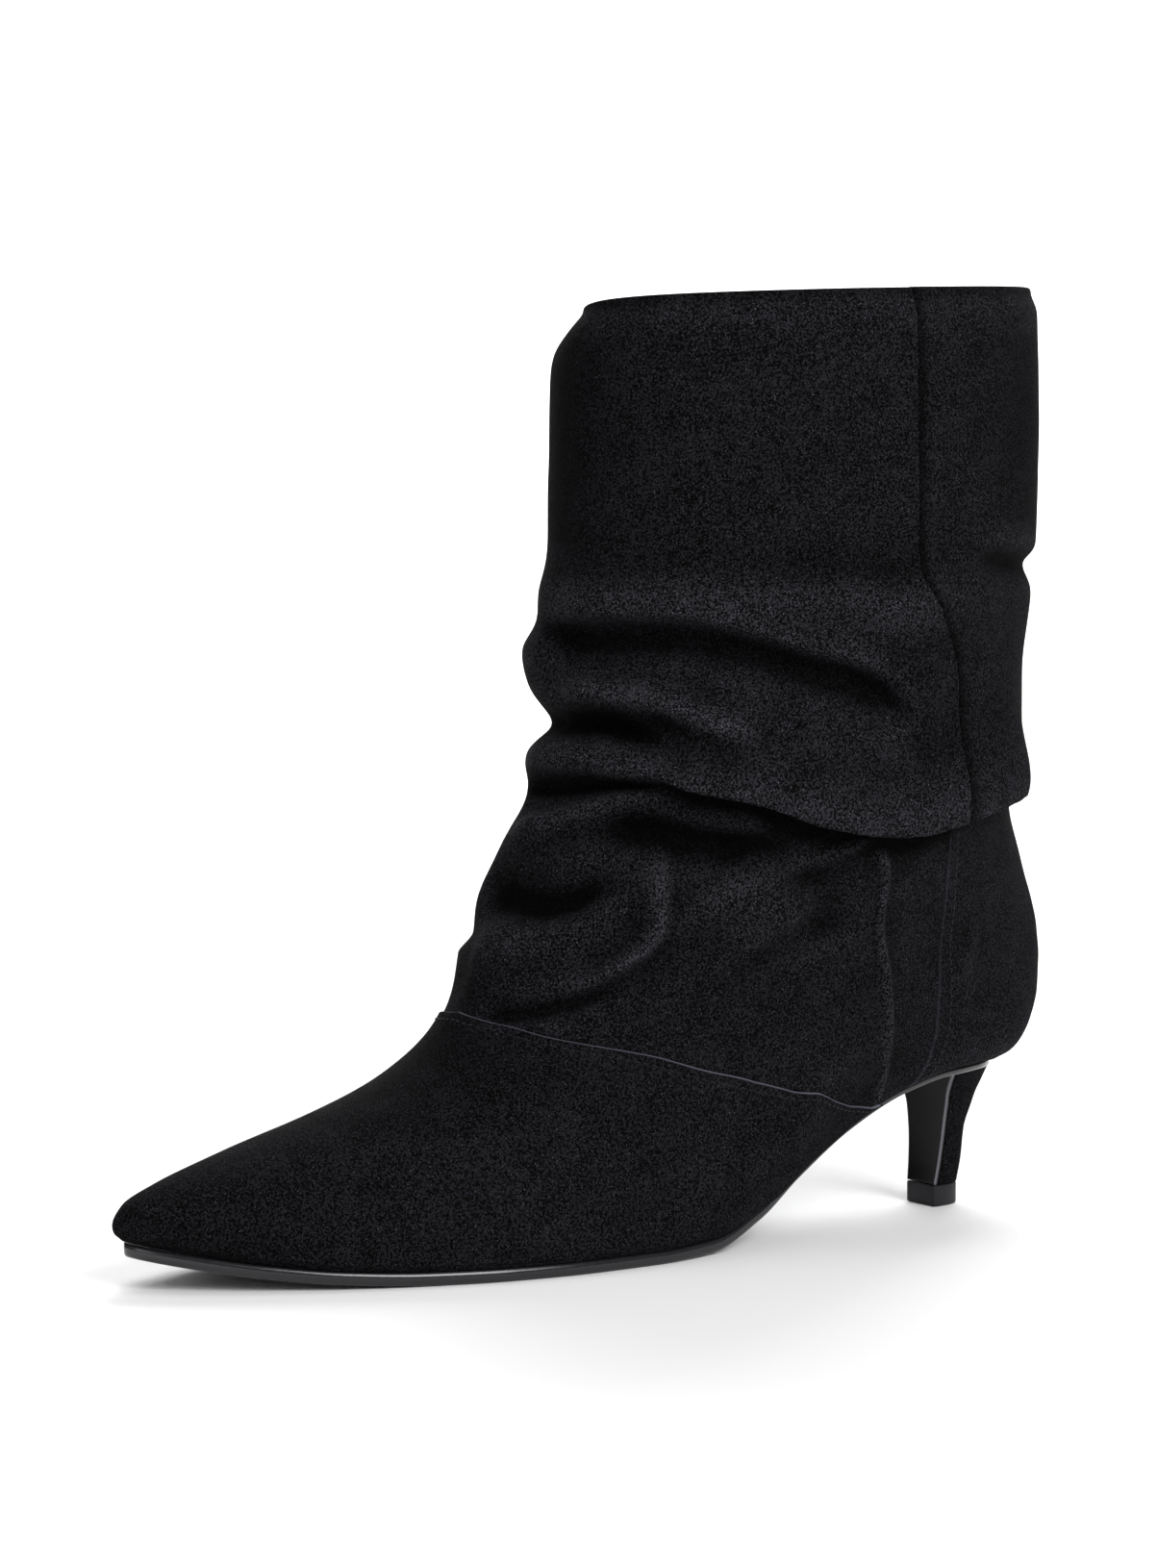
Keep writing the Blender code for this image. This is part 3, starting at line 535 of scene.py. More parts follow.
@dataclass(frozen=True)
class SuedeFinish:
    """Brushed goat suede: matt, with a short nap that lies in lighter and darker patches.

    It looks dark and dull from every side, with tiny light specks, and it has no gloss.
    """

    name: str = "suede_brushed_black"
    dark: str = "#030303"
    light: str = "#1c1b1e"
    # Colour of the fibre specks and of the painted highlight on the cut edges.
    speck_and_glint: str = "#62646f"
    patch_mm: float = 9.0
    nap_mm: float = 0.6
    fibre_mm: float = 0.38
    bump_mm: float = 0.3
    rough_noise: float = 0.62
    patch_share: float = 0.12
    ramp_ends: tuple = (0.468, 0.562)
    speck_ends: tuple = (0.62, 0.76)
    speck_light: float = 0.55
    roughness: float = 0.96
    specular: float = 0.04

    def make(self) -> Material:
        """Make the material from noise at the sizes of the nap's patches, tufts and fibres."""
        material, shader = new_material(self.name)
        tree = material.node_tree
        patch = noise(tree, self.patch_mm, 2.0, self.rough_noise)
        tuft = noise(tree, self.nap_mm, 4.0, self.rough_noise)
        fibre = noise(tree, self.fibre_mm, 2.0, self.rough_noise)
        tufts = sums(tree, "MULTIPLY", tuft, 1.0 - self.patch_share)
        mottled = sums(tree, "MULTIPLY_ADD", patch, self.patch_share, tufts)
        ramp = add_node(tree, "ShaderNodeValToRGB", None, Fac=mottled)
        colours = (self.dark, self.light)
        for stop, position, colour in zip(ramp.color_ramp.elements, self.ramp_ends, colours):
            stop.position = position
            stop.color = srgb(colour)
        speck = add_node(
            tree, "ShaderNodeMapRange", {"clamp": True}, Value=fibre,
            **dict(zip(("From Min", "From Max"), self.speck_ends)), **{"To Max": self.speck_light},
        ).outputs[0]
        # The fibre specks are the suede's own light tips; the edge mark adds a painted highlight on the cut
        # edges in the same colour.
        light = sums(tree, "MAXIMUM", speck, attribute(tree, "edge"))
        colour = mix(tree, light, ramp.outputs["Color"], srgb(self.speck_and_glint))
        # Painted light and shade: the colour is scaled by the mesh's painted shading, lighter on tops and
        # bulges, darker in folds and hollows.
        nap = attribute(tree, "nap")
        shade = add_node(tree, "ShaderNodeVectorMath", {"operation": "SCALE"}, i0=colour, i3=nap)
        tree.links.new(shade.outputs[0], shader.inputs["Base Color"])
        height = sums(tree, "MULTIPLY_ADD", tuft, 0.6, fibre)
        roughen(tree, shader, 0.8, self.bump_mm, height)
        shader.inputs["Roughness"].default_value = self.roughness
        shader.inputs["Specular IOR Level"].default_value = self.specular
        return material


@dataclass(frozen=True)
class GlossFinish:
    """A coated or moulded surface: one dark colour, faint mottling, a little bump and some gloss."""

    name: str
    dark: str
    light: str
    roughness: float
    grain_mm: float
    bump_mm: float
    coat: float = 0.0
    specular: float = 0.5
    edge: str = "#000000"

    def make(self) -> Material:
        """Make the material from one noise at its grain's size."""
        material, shader = new_material(self.name)
        tree = material.node_tree
        grain = noise(tree, self.grain_mm, 3.0)
        colour = mix(tree, grain, srgb(self.dark), srgb(self.light))
        colour = mix(tree, attribute(tree, "edge"), colour, srgb(self.edge))
        tree.links.new(colour, shader.inputs["Base Color"])
        shader.inputs["Specular IOR Level"].default_value = self.specular
        rough = add_node(
            tree, "ShaderNodeMapRange", {"clamp": True}, Value=grain,
            **{"To Min": self.roughness * 0.8, "To Max": self.roughness * 1.25},
        )
        tree.links.new(rough.outputs[0], shader.inputs["Roughness"])
        roughen(tree, shader, 0.5, self.bump_mm, grain)
        shader.inputs["Coat Weight"].default_value = self.coat
        shader.inputs["Coat Roughness"].default_value = 0.12
        return material


SOLE_EDGE = GlossFinish("resin_sole_polished_black", "#121214", "#202024", 0.2, 1.4, 0.02, 0.0, 0.5)
BREAST = GlossFinish("leather_glazed_black", "#050506", "#0b0b0c", 0.22, 2.0, 0.02, 0.0, 0.06, "#77757c")
TIP = GlossFinish("polyurethane_tip_black", "#1c1b1e", "#29282c", 0.5, 0.8, 0.03, 0.0, 0.12)
LINING = GlossFinish("lining_leather_dyed_black", "#1b1917", "#2b2826", 0.55, 0.7, 0.05)
SOCK = GlossFinish("sock_leather_smooth_black", "#141313", "#242221", 0.45, 0.8, 0.04)
THREAD = GlossFinish("polyester_thread_black", "#101012", "#232328", 0.5, 0.3, 0.05, 0.0, 0.1)


def grid_faces(rows: int, columns: int, closed: bool = False) -> Array:
    """Return the quads of a grid of vertices laid out row by row, as (n, 4) numbers."""
    row, col = np.meshgrid(np.arange(rows - 1), np.arange(columns if closed else columns - 1), indexing="ij")
    right = (col + 1) % columns
    low, high = row * columns, (row + 1) * columns
    return np.stack([low + col, low + right, high + right, high + col], axis=-1).reshape(-1, 4)


def paint_shading(points: Array) -> Array:
    """Return the painted light and shade at each vertex of a grid of scene points.

    The suede's colour is painted lighter where the surface faces up or bulges, and painted darker
    under folds and in hollows, as shade falls there. With nz the upward part of the normal and c the
    bulge in mm over a few millimetres, the shade is 1 + 0.1 nz + 0.7 c, held between 0.3 and 2.
    """
    normal = np.cross(np.gradient(points, axis=1), np.gradient(points, axis=0))
    normal /= np.maximum(np.linalg.norm(normal, axis=-1, keepdims=True), 1.0e-12)
    steep = blur(blur(normal[..., 2], 2), 2)
    smooth = np.stack([blur(blur(points[..., i], 6), 6) for i in range(3)], axis=-1)
    bulge = np.einsum("ijk,ijk->ij", points - smooth, normal) / MM
    return np.clip(1.0 + 0.1 * steep + 0.7 * bulge, 0.3, 2.0)


def read_line(at: Array, way: Array, line: Array) -> Array:
    """Return a line's vectors at distances along it, where way holds the distance of each of them."""
    return np.stack([np.interp(at, way, part) for part in line.T], axis=-1)


def blur(values: Array, reach: int) -> Array:
    """Return a grid's values averaged over a square of cells on each side, rows then columns."""
    for axis in (0, 1):
        pad = [(0, 0), (0, 0)]
        pad[axis] = (reach + 1, reach)
        total = np.cumsum(np.pad(values, pad, mode="edge"), axis=axis)
        size = 2 * reach + 1
        high = np.take(total, np.arange(size, total.shape[axis]), axis=axis)
        low = np.take(total, np.arange(0, total.shape[axis] - size), axis=axis)
        values = (high - low) / size
    return values


def make_piece(
    name: str, points: Array, quads: Array, material: Material,
    node: str | None = None, attributes: dict | None = None,
) -> None:
    """Make one smooth mesh object from scene points in metres and quads.

    Args:
        name: the piece's name.
        points: vertices, in any number of rows of columns.
        quads: (m, 4) vertex numbers, seen from outside.
        material: its material.
        node: the solid that it replaces, if any.
        attributes: float values for each vertex, by attribute name.
    """
    points = points.reshape(-1, 3)
    mesh = bpy.data.meshes.new(name)
    mesh.vertices.add(len(points))
    mesh.vertices.foreach_set("co", np.ascontiguousarray(points, np.float32).ravel())
    mesh.loops.add(quads.size)
    mesh.loops.foreach_set("vertex_index", np.ascontiguousarray(quads, np.int32).ravel())
    mesh.polygons.add(len(quads))
    mesh.polygons.foreach_set("loop_start", np.arange(0, quads.size, 4, dtype=np.int32))
    mesh.update(calc_edges=True)
    mesh.validate()
    mesh.shade_smooth()
    for label, values in (attributes or {}).items():
        layer = mesh.attributes.new(label, "FLOAT", "POINT")
        layer.data.foreach_set("value", np.ascontiguousarray(values, np.float32).ravel())
    mesh.materials.append(material)
    piece = bpy.data.objects.new(name, mesh)
    bpy.context.scene.collection.objects.link(piece)
    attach(piece, "root")
    if node:
        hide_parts(node)
    LOG.info("%s: %d faces", name, len(quads))


@dataclass
class Upper:
    """The suede upper: vamp, leg and back panel, with the lining inside.

    The vamp's cut edge has rows of levels past the edge, shares of the lap and edge marks; the edge
    marks paint a highlight on the cut edge. The back panel's has rows of turns past the edge and
    shares of the lap, from the outermost inwards. Its seam is lapped up to the level seam_top and
    plain above. The suede's colour is darkened at the toe and beside the seam, painted shade, and
    lightened along the seam's edge above seam_top, a painted highlight.
    """

    form: BootForm
    suede: Material
    lining: Material
    thread: Material
    vamp_cut: tuple = ((0.012, 0.82, 0.15), (0.028, 0.5, 0.85), (0.036, 0.1, 0.5), (0.036, -0.5, 0.0))
    back_cut: tuple = ((0.0012, -0.4), (0.0012, 0.25), (0.0006, 0.8))
    # How much the toe's colour is darkened, painted shade.
    toe_painted_shade: float = 0.85
    seam_top: float = 9.0
    seam_blend: float = 1.2
    # How much the colour is darkened beside the seam, painted shade in its groove.
    seam_painted_shade: float = 0.7
    seam_width: float = 1.7
    stitch_pitch: float = 2.3
    stitch_length: float = 1.6
    stitch_radius: float = 0.2
    vamp_grid: tuple = (420, 90)
    leg_grid: tuple = (400, 215)
    back_grid: tuple = (250, 300)
    lining_grid: tuple = (300, 150)

    def vamp_level(self, turn: Array) -> Array:
        """Return the level of the vamp's edge at turns from the toe."""
        folded = np.abs(turn - np.round(turn))
        return smooth_table(folded, column(VAMP_EDGE, "turn"), column(VAMP_EDGE, "level"))

    def back_turn(self, level: Array) -> Array:
        """Return the turn of the back panel's front edge at a level."""
        return smooth_table(level, column(BACK_EDGE, "level"), column(BACK_EDGE, "turn"))

    def climb(self, low: Array, share: Array) -> Array:
        """Return levels that divide the way from a low level to the collar into equal lengths."""
        knots = np.linspace(0.0, self.form.top, 200)
        length = np.zeros(len(knots))
        for turn in (0.08, 0.2, 0.3):
            line = self.form.base(np.full(len(knots), turn), knots)
            length[1:] += np.cumsum(np.linalg.norm(np.diff(line, axis=0), axis=1))
        start = np.interp(low, knots, length)
        return np.interp(start + share * (length[-1] - start), length, knots)

    def surface(self, turn: Array, level: Array, lift: Array) -> Array:
        """Return scene points of the folded upper at a lift in mm."""
        return self.form.place(self.form.outer(turn, level, lift))

    def rim_rows(self, turn: Array, lift: float, count: int = 9) -> Array:
        """Return rows that roll over the collar's edge and 4 mm down inside it.

        Args:
            turn: one row of turns.
            lift: how far the outer face stands out, in mm.
            count: rows round the roll.

        Returns:
            Points in scene metres, row by row.
        """
        form = self.form
        base = form.outer(turn, np.full_like(turn, form.top), 0.0)
        normal = form.normal(turn, np.full_like(turn, form.top))
        radius = 0.5 * (form.wall + lift)
        rows = []
        for angle in np.linspace(0.0, math.pi, count)[1:]:
            row = base + normal * (lift - radius + radius * math.cos(angle))
            row[..., 2] += radius * math.sin(angle)
            rows.append(row)
        for drop in (1.0, 2.5, 4.0):
            row = base - normal * form.wall
            row[..., 2] -= drop
            rows.append(row)
        return form.place(np.stack(rows))

    def build_vamp(self) -> None:
        """Build the vamp from the toe to its lapped edge, which is a cut edge of bare suede."""
        columns, rows = self.vamp_grid
        half = np.linspace(-1.0, 1.0, columns)
        turn = 0.3515 * half
        edge = self.vamp_level(turn)
        level = edge * np.linspace(0.0, 1.0, rows)[:, None]
        lift = self.form.lap * np.clip(level / 0.6, 0.0, 1.0)
        steps, heights, shown = np.array(self.vamp_cut).T[..., None]
        level = np.vstack([level, edge + steps * np.clip(edge, 0, 1)])
        lift = np.vstack([lift, np.broadcast_to(self.form.lap * heights, (len(heights), columns))])
        turns = np.broadcast_to(turn, level.shape)
        mark = np.zeros(level.shape)
        # The edge marks paint a highlight on the vamp's cut edge.
        mark[rows:] = shown
        points = self.surface(turns, level, lift)
        # Painted light and shade from the surface's slope and bulge and from the folds.
        nap = paint_shading(points[:rows]) + self.form.shade_paint(turns[:rows], level[:rows])
        # Painted shade: the colour is darker round the toe's tip.
        nap -= self.toe_painted_shade * np.exp(-((turns[:rows] / 0.14) ** 2) - level[:rows] / 5.0)
        marks = {"edge": mark, "nap": np.pad(nap, ((0, len(steps)), (0, 0)), mode="edge")}
        make_piece("vamp", points, grid_faces(*level.shape), self.suede, "upper", marks)

    def build_leg(self) -> None:
        """Build the leg panel, from under the vamp's edge to the collar and round its front."""
        columns, rows = self.leg_grid
        half = np.linspace(-1.0, 1.0, columns)
        share = np.linspace(0.0, 1.0, rows)[:, None]
        level = np.broadcast_to(self.climb(np.full(columns, 3.0), share), (rows, columns))
        turn = np.broadcast_to(0.3 * half, level.shape)
        for _ in range(10):
            turn = half[None, :] * (self.back_turn(level) + 0.006)
            low = np.maximum(self.vamp_level(turn[0]) - 0.35, 0.0)
            level = self.climb(low[None, :], share)
        rim = self.rim_rows(turn[-1], 0.0)
        points = np.concatenate([self.surface(turn, level, np.zeros(level.shape)), rim])
        # Painted light and shade from the surface's slope and bulge and from the folds.
        nap = paint_shading(points[:rows]) + self.form.shade_paint(turn, level)
        from_seam = (1.0 - np.abs(half)) * 0.3 * self.form.turn_length
        lapped = 1.0 - ease((level - self.seam_top) / self.seam_blend)
        # Painted shade in the seam's groove below seam_top.
        nap *= 1.0 - self.seam_painted_shade * lapped * np.exp(-((from_seam / self.seam_width) ** 2))
        # A painted highlight in a thin line along the seam's edge above seam_top.
        nap *= 1.0 + 0.8 * (1.0 - lapped) * np.exp(-((from_seam / 0.8) ** 2))
        nap = np.pad(np.clip(nap, 0.12, 2.6), ((0, len(rim)), (0, 0)), mode="edge")
        marks = {"edge": np.zeros(nap.shape), "nap": nap}
        make_piece("leg", points, grid_faces(*nap.shape), self.suede, "upper", marks)

    def build_back(self) -> None:
        """Build the back panel, which laps over the leg with a cut edge on each side."""
        columns, rows = self.back_grid
        share = np.linspace(0.0, 1.0, rows)[:, None]
        level = np.broadcast_to(self.climb(np.zeros(columns), share), (rows, columns))
        step_out, heights = np.array(self.back_cut).T
        cut = len(heights)
        inner = columns - 2 * cut
        across = np.pad(np.linspace(-1.0, 1.0, inner), cut, mode="edge")
        shape = np.concatenate([heights, np.ones(inner), heights[::-1]])
        nudge = np.concatenate([-step_out, np.zeros(inner), step_out[::-1]])
        closed = 1.0 - 0.6 * ease((level - 9.6) / 0.8)
        split = self.back_turn(level)
        turn = 0.5 + across[None, :] * (0.5 - split) + nudge[None, :]
        fade = np.clip(level / 0.6, 0.0, 1.0)
        lift = self.form.back_lap * shape[None, :] * closed * fade
        rim = self.rim_rows(turn[-1], 0.2)
        points = np.concatenate([self.surface(turn, level, lift), rim])
        mark = np.zeros(points.shape[:2])
        # The edge marks paint a highlight on the back panel's lapped cut edges below seam_top.
        shown = 0.1 * (1.0 - ease(level[:, :cut] - self.seam_top))
        mark[:rows, :cut] = shown
        mark[:rows, -cut:] = shown
        # Painted light and shade from the surface's slope and bulge and from the folds.
        nap = np.pad(paint_shading(points[:rows, cut:-cut]), ((0, 0), (cut, cut)), mode="edge")
        nap += self.form.shade_paint(turn, level)
        from_edge = (1.0 - np.abs(across)) * (0.5 - split) * self.form.turn_length
        plain = ease((level - self.seam_top) / self.seam_blend)
        # Painted shade beside the plain seam above seam_top.
        nap *= 1.0 - self.seam_painted_shade * plain * np.exp(-((from_edge / self.seam_width) ** 2))
        nap = np.pad(nap, ((0, len(rim)), (0, 0)), mode="edge")
        marks = {"edge": mark, "nap": nap}
        make_piece("back_panel", points, grid_faces(*mark.shape), self.suede, "upper", marks)

    def build_lining(self) -> None:
        """Build the lining, the inner face of the wall, from the feather edge to just under the rim."""
        columns, rows = self.lining_grid
        turn = np.linspace(0.0, 1.0, columns, endpoint=False)
        share = np.linspace(0.0, 1.0, rows)[:, None]
        level = np.broadcast_to(self.climb(np.zeros(columns), share), (rows, columns))
        turns = np.broadcast_to(turn, level.shape)
        base = self.form.outer(turns, level, np.full(level.shape, -self.form.wall))
        base[-1, :, 2] -= 1.2
        quads = grid_faces(rows, columns, closed=True)[:, ::-1]
        make_piece("lining", self.form.place(base), quads, self.lining, "upper")

    def stitch_row(self, name: str, turn: Array, level: Array, lift: float) -> None:
        """Sew one row of stitches along a line on the upper.

        Args:
            name: the piece's name.
            turn: turns along the line.
            level: levels along the line.
            lift: how far the panel stands out there, in mm.
        """
        line = self.form.outer(turn, level, np.full(turn.shape, lift))
        normal = self.form.normal(turn, level)
        steps = np.linalg.norm(np.diff(line, axis=0), axis=1)
        way = np.concatenate([[0.0], np.cumsum(steps)])
        middles = np.arange(0.5 * self.stitch_pitch, way[-1], self.stitch_pitch)
        half = 0.5 * self.stitch_length
        start = read_line(middles - half, way, line)
        end = read_line(middles + half, way, line)
        out = read_line(middles, way, normal)
        along = (end - start) / np.linalg.norm(end - start, axis=1, keepdims=True)
        axes = np.stack([along, np.cross(out, along), out], axis=1)
        around = np.linspace(0.0, 2 * math.pi, 6, endpoint=False)
        bead = np.linspace(-1.0, 1.0, 7)
        girth = np.sqrt(np.clip(1.0 - 0.97 * bead**4, 0.0, 1.0))
        round_y = self.stitch_radius * girth[:, None] * np.cos(around)
        round_z = self.stitch_radius * girth[:, None] * np.sin(around) + 0.08 - 0.12 * bead[:, None] ** 2
        local = np.stack(np.broadcast_arrays(half * bead[:, None], round_y, round_z), axis=-1)
        points = 0.5 * (start + end)[:, None, None] + np.einsum("abj,njk->nabk", local, axes)
        quads = grid_faces(7, 6, closed=True)
        quads = (quads[None] + 42 * np.arange(len(middles))[:, None, None]).reshape(-1, 4)
        make_piece(name, self.form.place(points), quads, self.thread)

    def build_stitches(self) -> None:
        """Sew the rows beside the vamp's edge and beside the back panel's edges."""
        turn = np.linspace(-0.335, 0.335, 900)
        level = self.vamp_level(turn) - 0.11
        self.stitch_row("vamp_stitches", turn, level, self.form.lap)
        level = np.linspace(0.5, 9.5, 400)
        for side in Side:
            turn = 0.5 - side.value * (0.5 - self.back_turn(level) - 0.006)
            self.stitch_row(f"back_stitches_{side.name.lower()}", turn, level, self.form.back_lap)

    def build(self) -> None:
        """Build every piece of the upper."""
        self.build_vamp()
        self.build_leg()
        self.build_back()
        self.build_lining()
        self.build_stitches()


@dataclass
class Bottom:
    """The outsole and the insole, as plates that follow the last's bottom."""

    form: BootForm
    sole: Material
    sock: Material
    set_in: float = 0.3
    seat_tuck: float = 1.5
    edge_round: float = 0.7
    stations: int = 220
    across: int = 14

    def tuck(self, turn: Array) -> Array:
        """Return how far the outsole's edge is set in: little at the tread, more at waist and seat."""
        along = self.form.sole_plan(turn)[0]
        return self.set_in + self.seat_tuck * (1.0 - ease((along - 50.0) / 60.0))

    def plate(self, inset: Callable, low: Callable, high: Callable, bevel: float) -> tuple[Array, Array]:
        """Return points and quads of a closed plate.

        The section across the boot is walked as a loop: over the top from the outer to the inner
        edge, round the inner edge, back under the sole and round the outer edge, with bevels.

        Args:
            inset: distance inside the sole's outline as a function of turn.
            low: height of the lower face as a function of s.
            high: height of the upper face as a function of s.
            bevel: size of the rounding of the lower edge, in mm.

        Returns:
            Scene points and quads.
        """
        turn = 0.5 * np.linspace(0.0, 1.0, self.stations)
        profile = ((0.0, 1.0), (0.0, 0.55), (0.12, 0.18), (0.5, 0.04), (1.0, 0.0))
        edges = []
        for side, steps in ((1, profile), (-1, profile[::-1])):
            for extra, height in steps:
                s, t = self.form.sole_inset(side * turn, inset(side * turn) + extra * bevel)
                edges.append(np.stack([s, t, low(s) + height * (high(s) - low(s))], axis=-1))
        under = self.span(edges[4], edges[5], low)
        points = np.stack(edges[:5] + under + edges[5:] + self.span(edges[9], edges[0], high), axis=1)
        return self.form.place(points), grid_faces(*points.shape[:2], closed=True)

    def span(self, start: Array, end: Array, height: Callable) -> list:
        """Return the rows between two edges of a plate, at a height that is a function of s."""
        rows = []
        for share in np.linspace(0.0, 1.0, self.across)[1:-1]:
            row = start * (1 - share) + end * share
            row[:, 2] = height(row[:, 0])
            rows.append(row)
        return rows

    def build(self) -> None:
        """Build both plates."""
        form = self.form
        points, quads = self.plate(
            self.tuck, form.sole_under, lambda s: form.feather(s) - form.gap, self.edge_round
        )
        make_piece("outsole_shaped", points, quads, self.sole, "outsole")
        inset = form.wall + 2 * form.gap
        points, quads = self.plate(lambda turn: inset, form.feather, lambda s: form.feather(s) + 2.0, 0.4)
        make_piece("insole_sock", points, quads, self.sock, "insole")


@dataclass(frozen=True)
class HeelRow:
    """One level section of the heel: flat breast in front, round back, in mm."""

    height: float
    front_s: float
    back_s: float
    half_width: float


HEEL = tuple(HeelRow(*row) for row in (
    (5.9, 33.4, 22.5, 5.8), (12.0, 32.6, 21.3, 6.4), (20.0, 32.0, 20.6, 7.3), (26.0, 31.9, 18.4, 8.3),
    (30.0, 32.4, 16.9, 9.6), (33.0, 33.0, 15.6, 11.4), (36.6, 34.0, 14.6, 14.4),
))


@dataclass
class Heel:
    """The covered heel, the glossy cover of its breast and the top piece."""

    form: BootForm
    suede: Material
    breast: Material
    tip: Material
    breast_thickness: float = 1.0
    # One flat value of the suede's painted shading over the heel's pieces.
    nap: float = 0.75
    rows: int = 70
    sides: int = 72

    def section(self, height: Array) -> tuple[Array, Array, Array]:
        """Return the breast, back and half width at given heights."""
        knots = column(HEEL, "height")
        names = ("front_s", "back_s", "half_width")
        return tuple(smooth_table(height, knots, column(HEEL, name)) for name in names)

    def stack(self) -> tuple[Array, Array, Array, Array]:
        """Return the share of the height, and the breast, back and half width there, row by row."""
        share = np.linspace(0.0, 1.0, self.rows)[:, None]
        return share, *self.section(HEEL[0].height + share * (HEEL[-1].height - HEEL[0].height))

    def rise(self, s: Array, share: Array) -> Array:
        """Return heights that run from the tip's top to just under the outsole as share goes to 1."""
        low = HEEL[0].height
        return low + share * (self.form.sole_under(s) - self.form.gap - low)

    def loft(
        self, name: str, rings: Array, material: Material, node: str, edge: Array | float = 0.0
    ) -> None:
        """Make a closed solid through rings of points, with its two ends drawn to their middles.

        Args:
            name: the piece's name.
            rings: (rows, points, 3) boot places.
            material: its material.
            node: the solid that it replaces.
            edge: edge attribute, one value or one for each point of a ring.
        """
        first = rings[:1]
        last = rings[-1:]
        caps_low = [first.mean(axis=1, keepdims=True) * (1 - k) + first * k for k in (0.0, 0.5, 0.97)]
        caps_high = [last.mean(axis=1, keepdims=True) * (1 - k) + last * k for k in (0.97, 0.5, 0.0)]
        points = np.concatenate(caps_low + [rings] + caps_high)
        size = points.shape[:2]
        marks = {"edge": np.broadcast_to(edge, size), "nap": np.full(size, self.nap)}
        quads = grid_faces(*size, closed=True)
        make_piece(name, self.form.place(points), quads, material, node, marks)

    def build_block(self) -> None:
        """Build the suede-covered block: each section is a half ellipse behind a flat front."""
        set_back = self.breast_thickness + self.form.gap
        share, front, back, half = self.stack()
        around = np.linspace(0.0, math.pi, self.sides)[None, :]
        s = front - set_back - (front - set_back - back) * np.sin(around)
        t = half * np.cos(around)
        rings = np.stack([s, t, self.rise(s, share)], axis=-1)
        self.loft("heel_covered", rings, self.suede, "heel")

    def build_breast(self) -> None:
        """Build the breast cover: a thin plate that follows the block's front."""
        share, front, _, half = self.stack()
        across = np.concatenate([[1.0], np.linspace(0.94, -0.94, 22), [-1.0]])[None, :]
        hollow = 0.35 * (1.0 - across**2)
        face = np.stack(np.broadcast_arrays(front - hollow, half * across), axis=-1)
        rear = np.stack(np.broadcast_arrays(front - self.breast_thickness, half * across[:, ::-1]), axis=-1)
        plan = np.concatenate([rear[:, ::-1], face[:, ::-1]], axis=1)
        height = self.rise(plan[..., 0], share)
        rings = np.concatenate([plan, height[..., None]], axis=-1)
        edge = np.zeros(plan.shape[1])
        edge[[24, 47]] = 1.0
        self.loft("heel_breast_cover", rings, self.breast, "heel_breast", edge)

    def build_tip(self) -> None:
        """Build the top piece, a little proud of the heel and with a soft lower edge."""
        front, back, half = self.section(np.array([HEEL[0].height]))
        around = np.linspace(0.0, math.pi, self.sides)
        straight = np.linspace(-1.0, 1.0, 14)[1:-1]
        s = np.concatenate([front - (front - back) * np.sin(around), np.full(12, front[0])])
        t = np.concatenate([half * np.cos(around), half * straight])
        middle = np.array([0.5 * (front[0] + back[0]), 0.0])
        plan = np.stack([s, t], axis=-1)
        rings = []
        for scale, height in ((0.93, 0.0), (0.98, 0.12), (1.0, 0.5), (1.0, 3.0), (1.0, 5.2), (0.98, 5.6)):
            ring = middle + (plan - middle) * scale
            rings.append(np.column_stack([ring, np.full(len(ring), height)]))
        self.loft("top_piece_moulded", np.stack(rings), self.tip, "top_piece")

    def build(self) -> None:
        """Build the three heel pieces."""
        self.build_block()
        self.build_breast()
        self.build_tip()


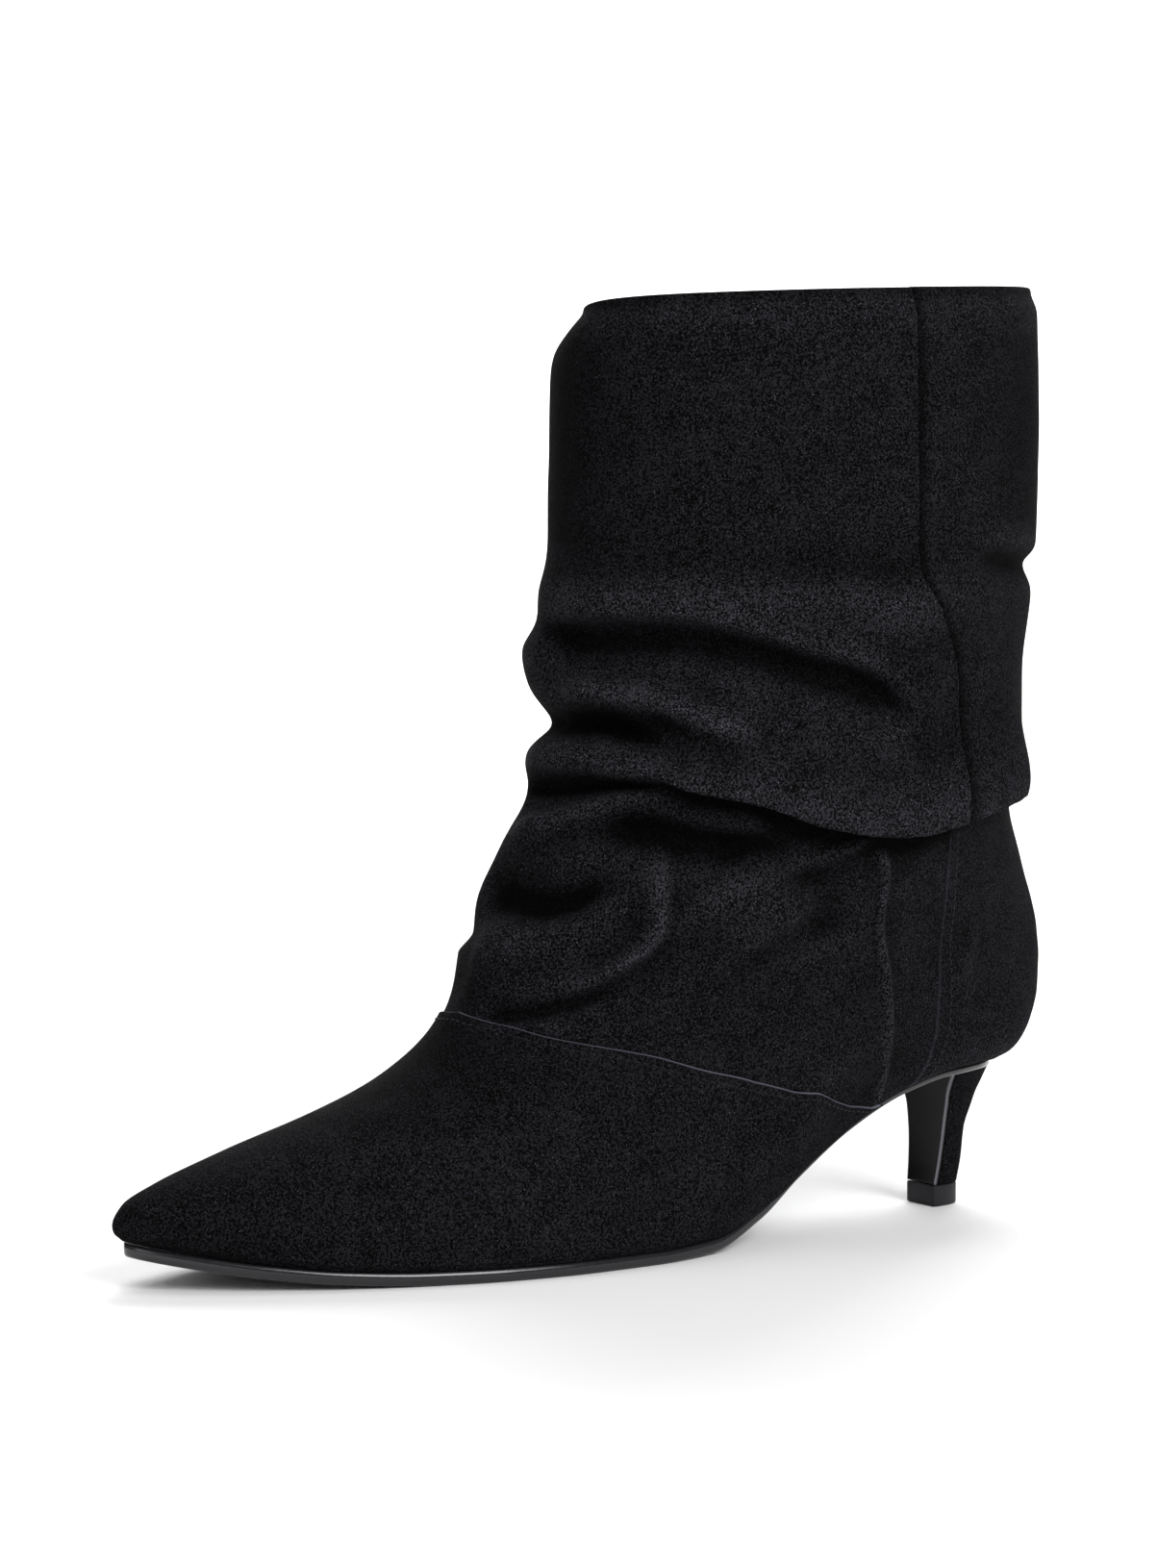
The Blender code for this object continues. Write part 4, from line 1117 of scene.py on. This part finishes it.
@dataclass
class Studio:
    """A white paper sweep, soft lights and the camera."""

    form: BootForm
    camera_place: tuple = (709.4, 878.2, 188.8)
    aim: tuple = (166.6, 39.7, 118.6)
    lens: float = 97.0
    sweep_reach: float = 1.5
    sweep_bend: float = 0.9
    sweep_height: float = 3.2
    sweep_width: float = 4.0

    def build_sweep(self) -> None:
        """Build the paper: a level floor that bends up, through a quarter circle, into a wall.

        It stands square to the camera, with the wall behind the boot.
        """
        place = self.form.place(np.array(self.camera_place))
        back = -place[:2] / np.hypot(*place[:2])
        side = np.array((-back[1], back[0]))
        bend = np.linspace(0.0, 0.5 * math.pi, 48)
        curve = self.sweep_reach + self.sweep_bend * np.sin(bend)
        run = np.concatenate([[-4.0], curve, curve[-1:]])
        rise = np.concatenate([[0.0], self.sweep_bend * (1.0 - np.cos(bend)), [self.sweep_height]])
        across = np.array((self.sweep_width, -self.sweep_width))
        plan = run[:, None, None] * back + across[None, :, None] * side
        points = np.concatenate([plan, np.broadcast_to(rise[:, None, None], (len(rise), 2, 1))], axis=-1)
        mesh = bpy.data.meshes.new("paper_sweep")
        mesh.from_pydata(points.reshape(-1, 3).tolist(), [], grid_faces(len(run), 2).tolist())
        mesh.shade_smooth()
        material, shader = new_material("paper_matt_white")
        shader.inputs["Base Color"].default_value = srgb("#fafafa")
        shader.inputs["Roughness"].default_value = 0.9
        shader.inputs["Specular IOR Level"].default_value = 0.1
        mesh.materials.append(material)
        sweep = bpy.data.objects.new("paper_sweep", mesh)
        bpy.context.scene.collection.objects.link(sweep)

    def add_light(self, name: str, place: tuple, aim: tuple, size: float, power: float) -> None:
        """Add one square area light that shines from a place towards an aim, both in metres."""
        light = bpy.data.lights.new(name, "AREA")
        light.size = size
        light.energy = power
        light.spread = math.radians(100.0)
        lamp = bpy.data.objects.new(name, light)
        lamp.location = place
        lamp.rotation_euler = look_rotation(np.array(aim) - np.array(place))
        bpy.context.scene.collection.objects.link(lamp)

    def build(self) -> None:
        """Build the sweep, the lights, the grey surround and the camera."""
        scene = bpy.context.scene
        self.build_sweep()
        world = bpy.data.worlds.new("surround")
        world.use_nodes = True
        world.node_tree.nodes["Background"].inputs["Color"].default_value = (1.0, 1.0, 1.0, 1.0)
        world.node_tree.nodes["Background"].inputs["Strength"].default_value = 0.2
        scene.world = world
        boot = (0.0, 0.0, 0.12)
        self.add_light("overhead", (0.1, -0.2, 1.9), boot, 1.0, 2.5)
        self.add_light("key", (2.0, 0.1, 1.35), boot, 1.2, 15.5)
        self.add_light("front_fill", (1.0, -1.9, 0.9), boot, 1.0, 2.0)
        self.add_light("floor_wash", (-0.9, 0.8, 1.3), (-0.2, -0.25, 0.0), 1.0, 7.0)
        self.add_light("wall_wash", (-1.0, 0.65, 2.4), (-2.2, 1.45, 0.2), 1.2, 36.0)
        scene.view_settings.view_transform = "Standard"
        camera = bpy.data.objects.new("camera", bpy.data.cameras.new("camera"))
        scene.collection.objects.link(camera)
        place = self.form.place(np.array(self.camera_place))
        aim = self.form.place(np.array(self.aim))
        camera.location = place
        camera.rotation_euler = look_rotation(aim - place)
        camera.data.sensor_width = 36.0
        camera.data.lens = self.lens
        scene.camera = camera


def look_rotation(direction: Array) -> tuple[float, float, float]:
    """Return the Euler angles that turn a camera or light to look along a direction, kept upright."""
    x, y, z = direction / np.linalg.norm(direction)
    return (math.acos(-z), 0.0, math.atan2(-x, y))


def main() -> None:
    """Build the boot's looks and its studio."""
    logging.basicConfig(level=logging.INFO, format="%(message)s")
    form = BootForm()
    suede = SuedeFinish().make()
    Upper(form, suede, LINING.make(), THREAD.make()).build()
    Bottom(form, SOLE_EDGE.make(), SOCK.make()).build()
    Heel(form, suede, BREAST.make(), TIP.make()).build()
    Studio(form).build()


if __name__ == "__main__":
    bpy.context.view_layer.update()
    main()
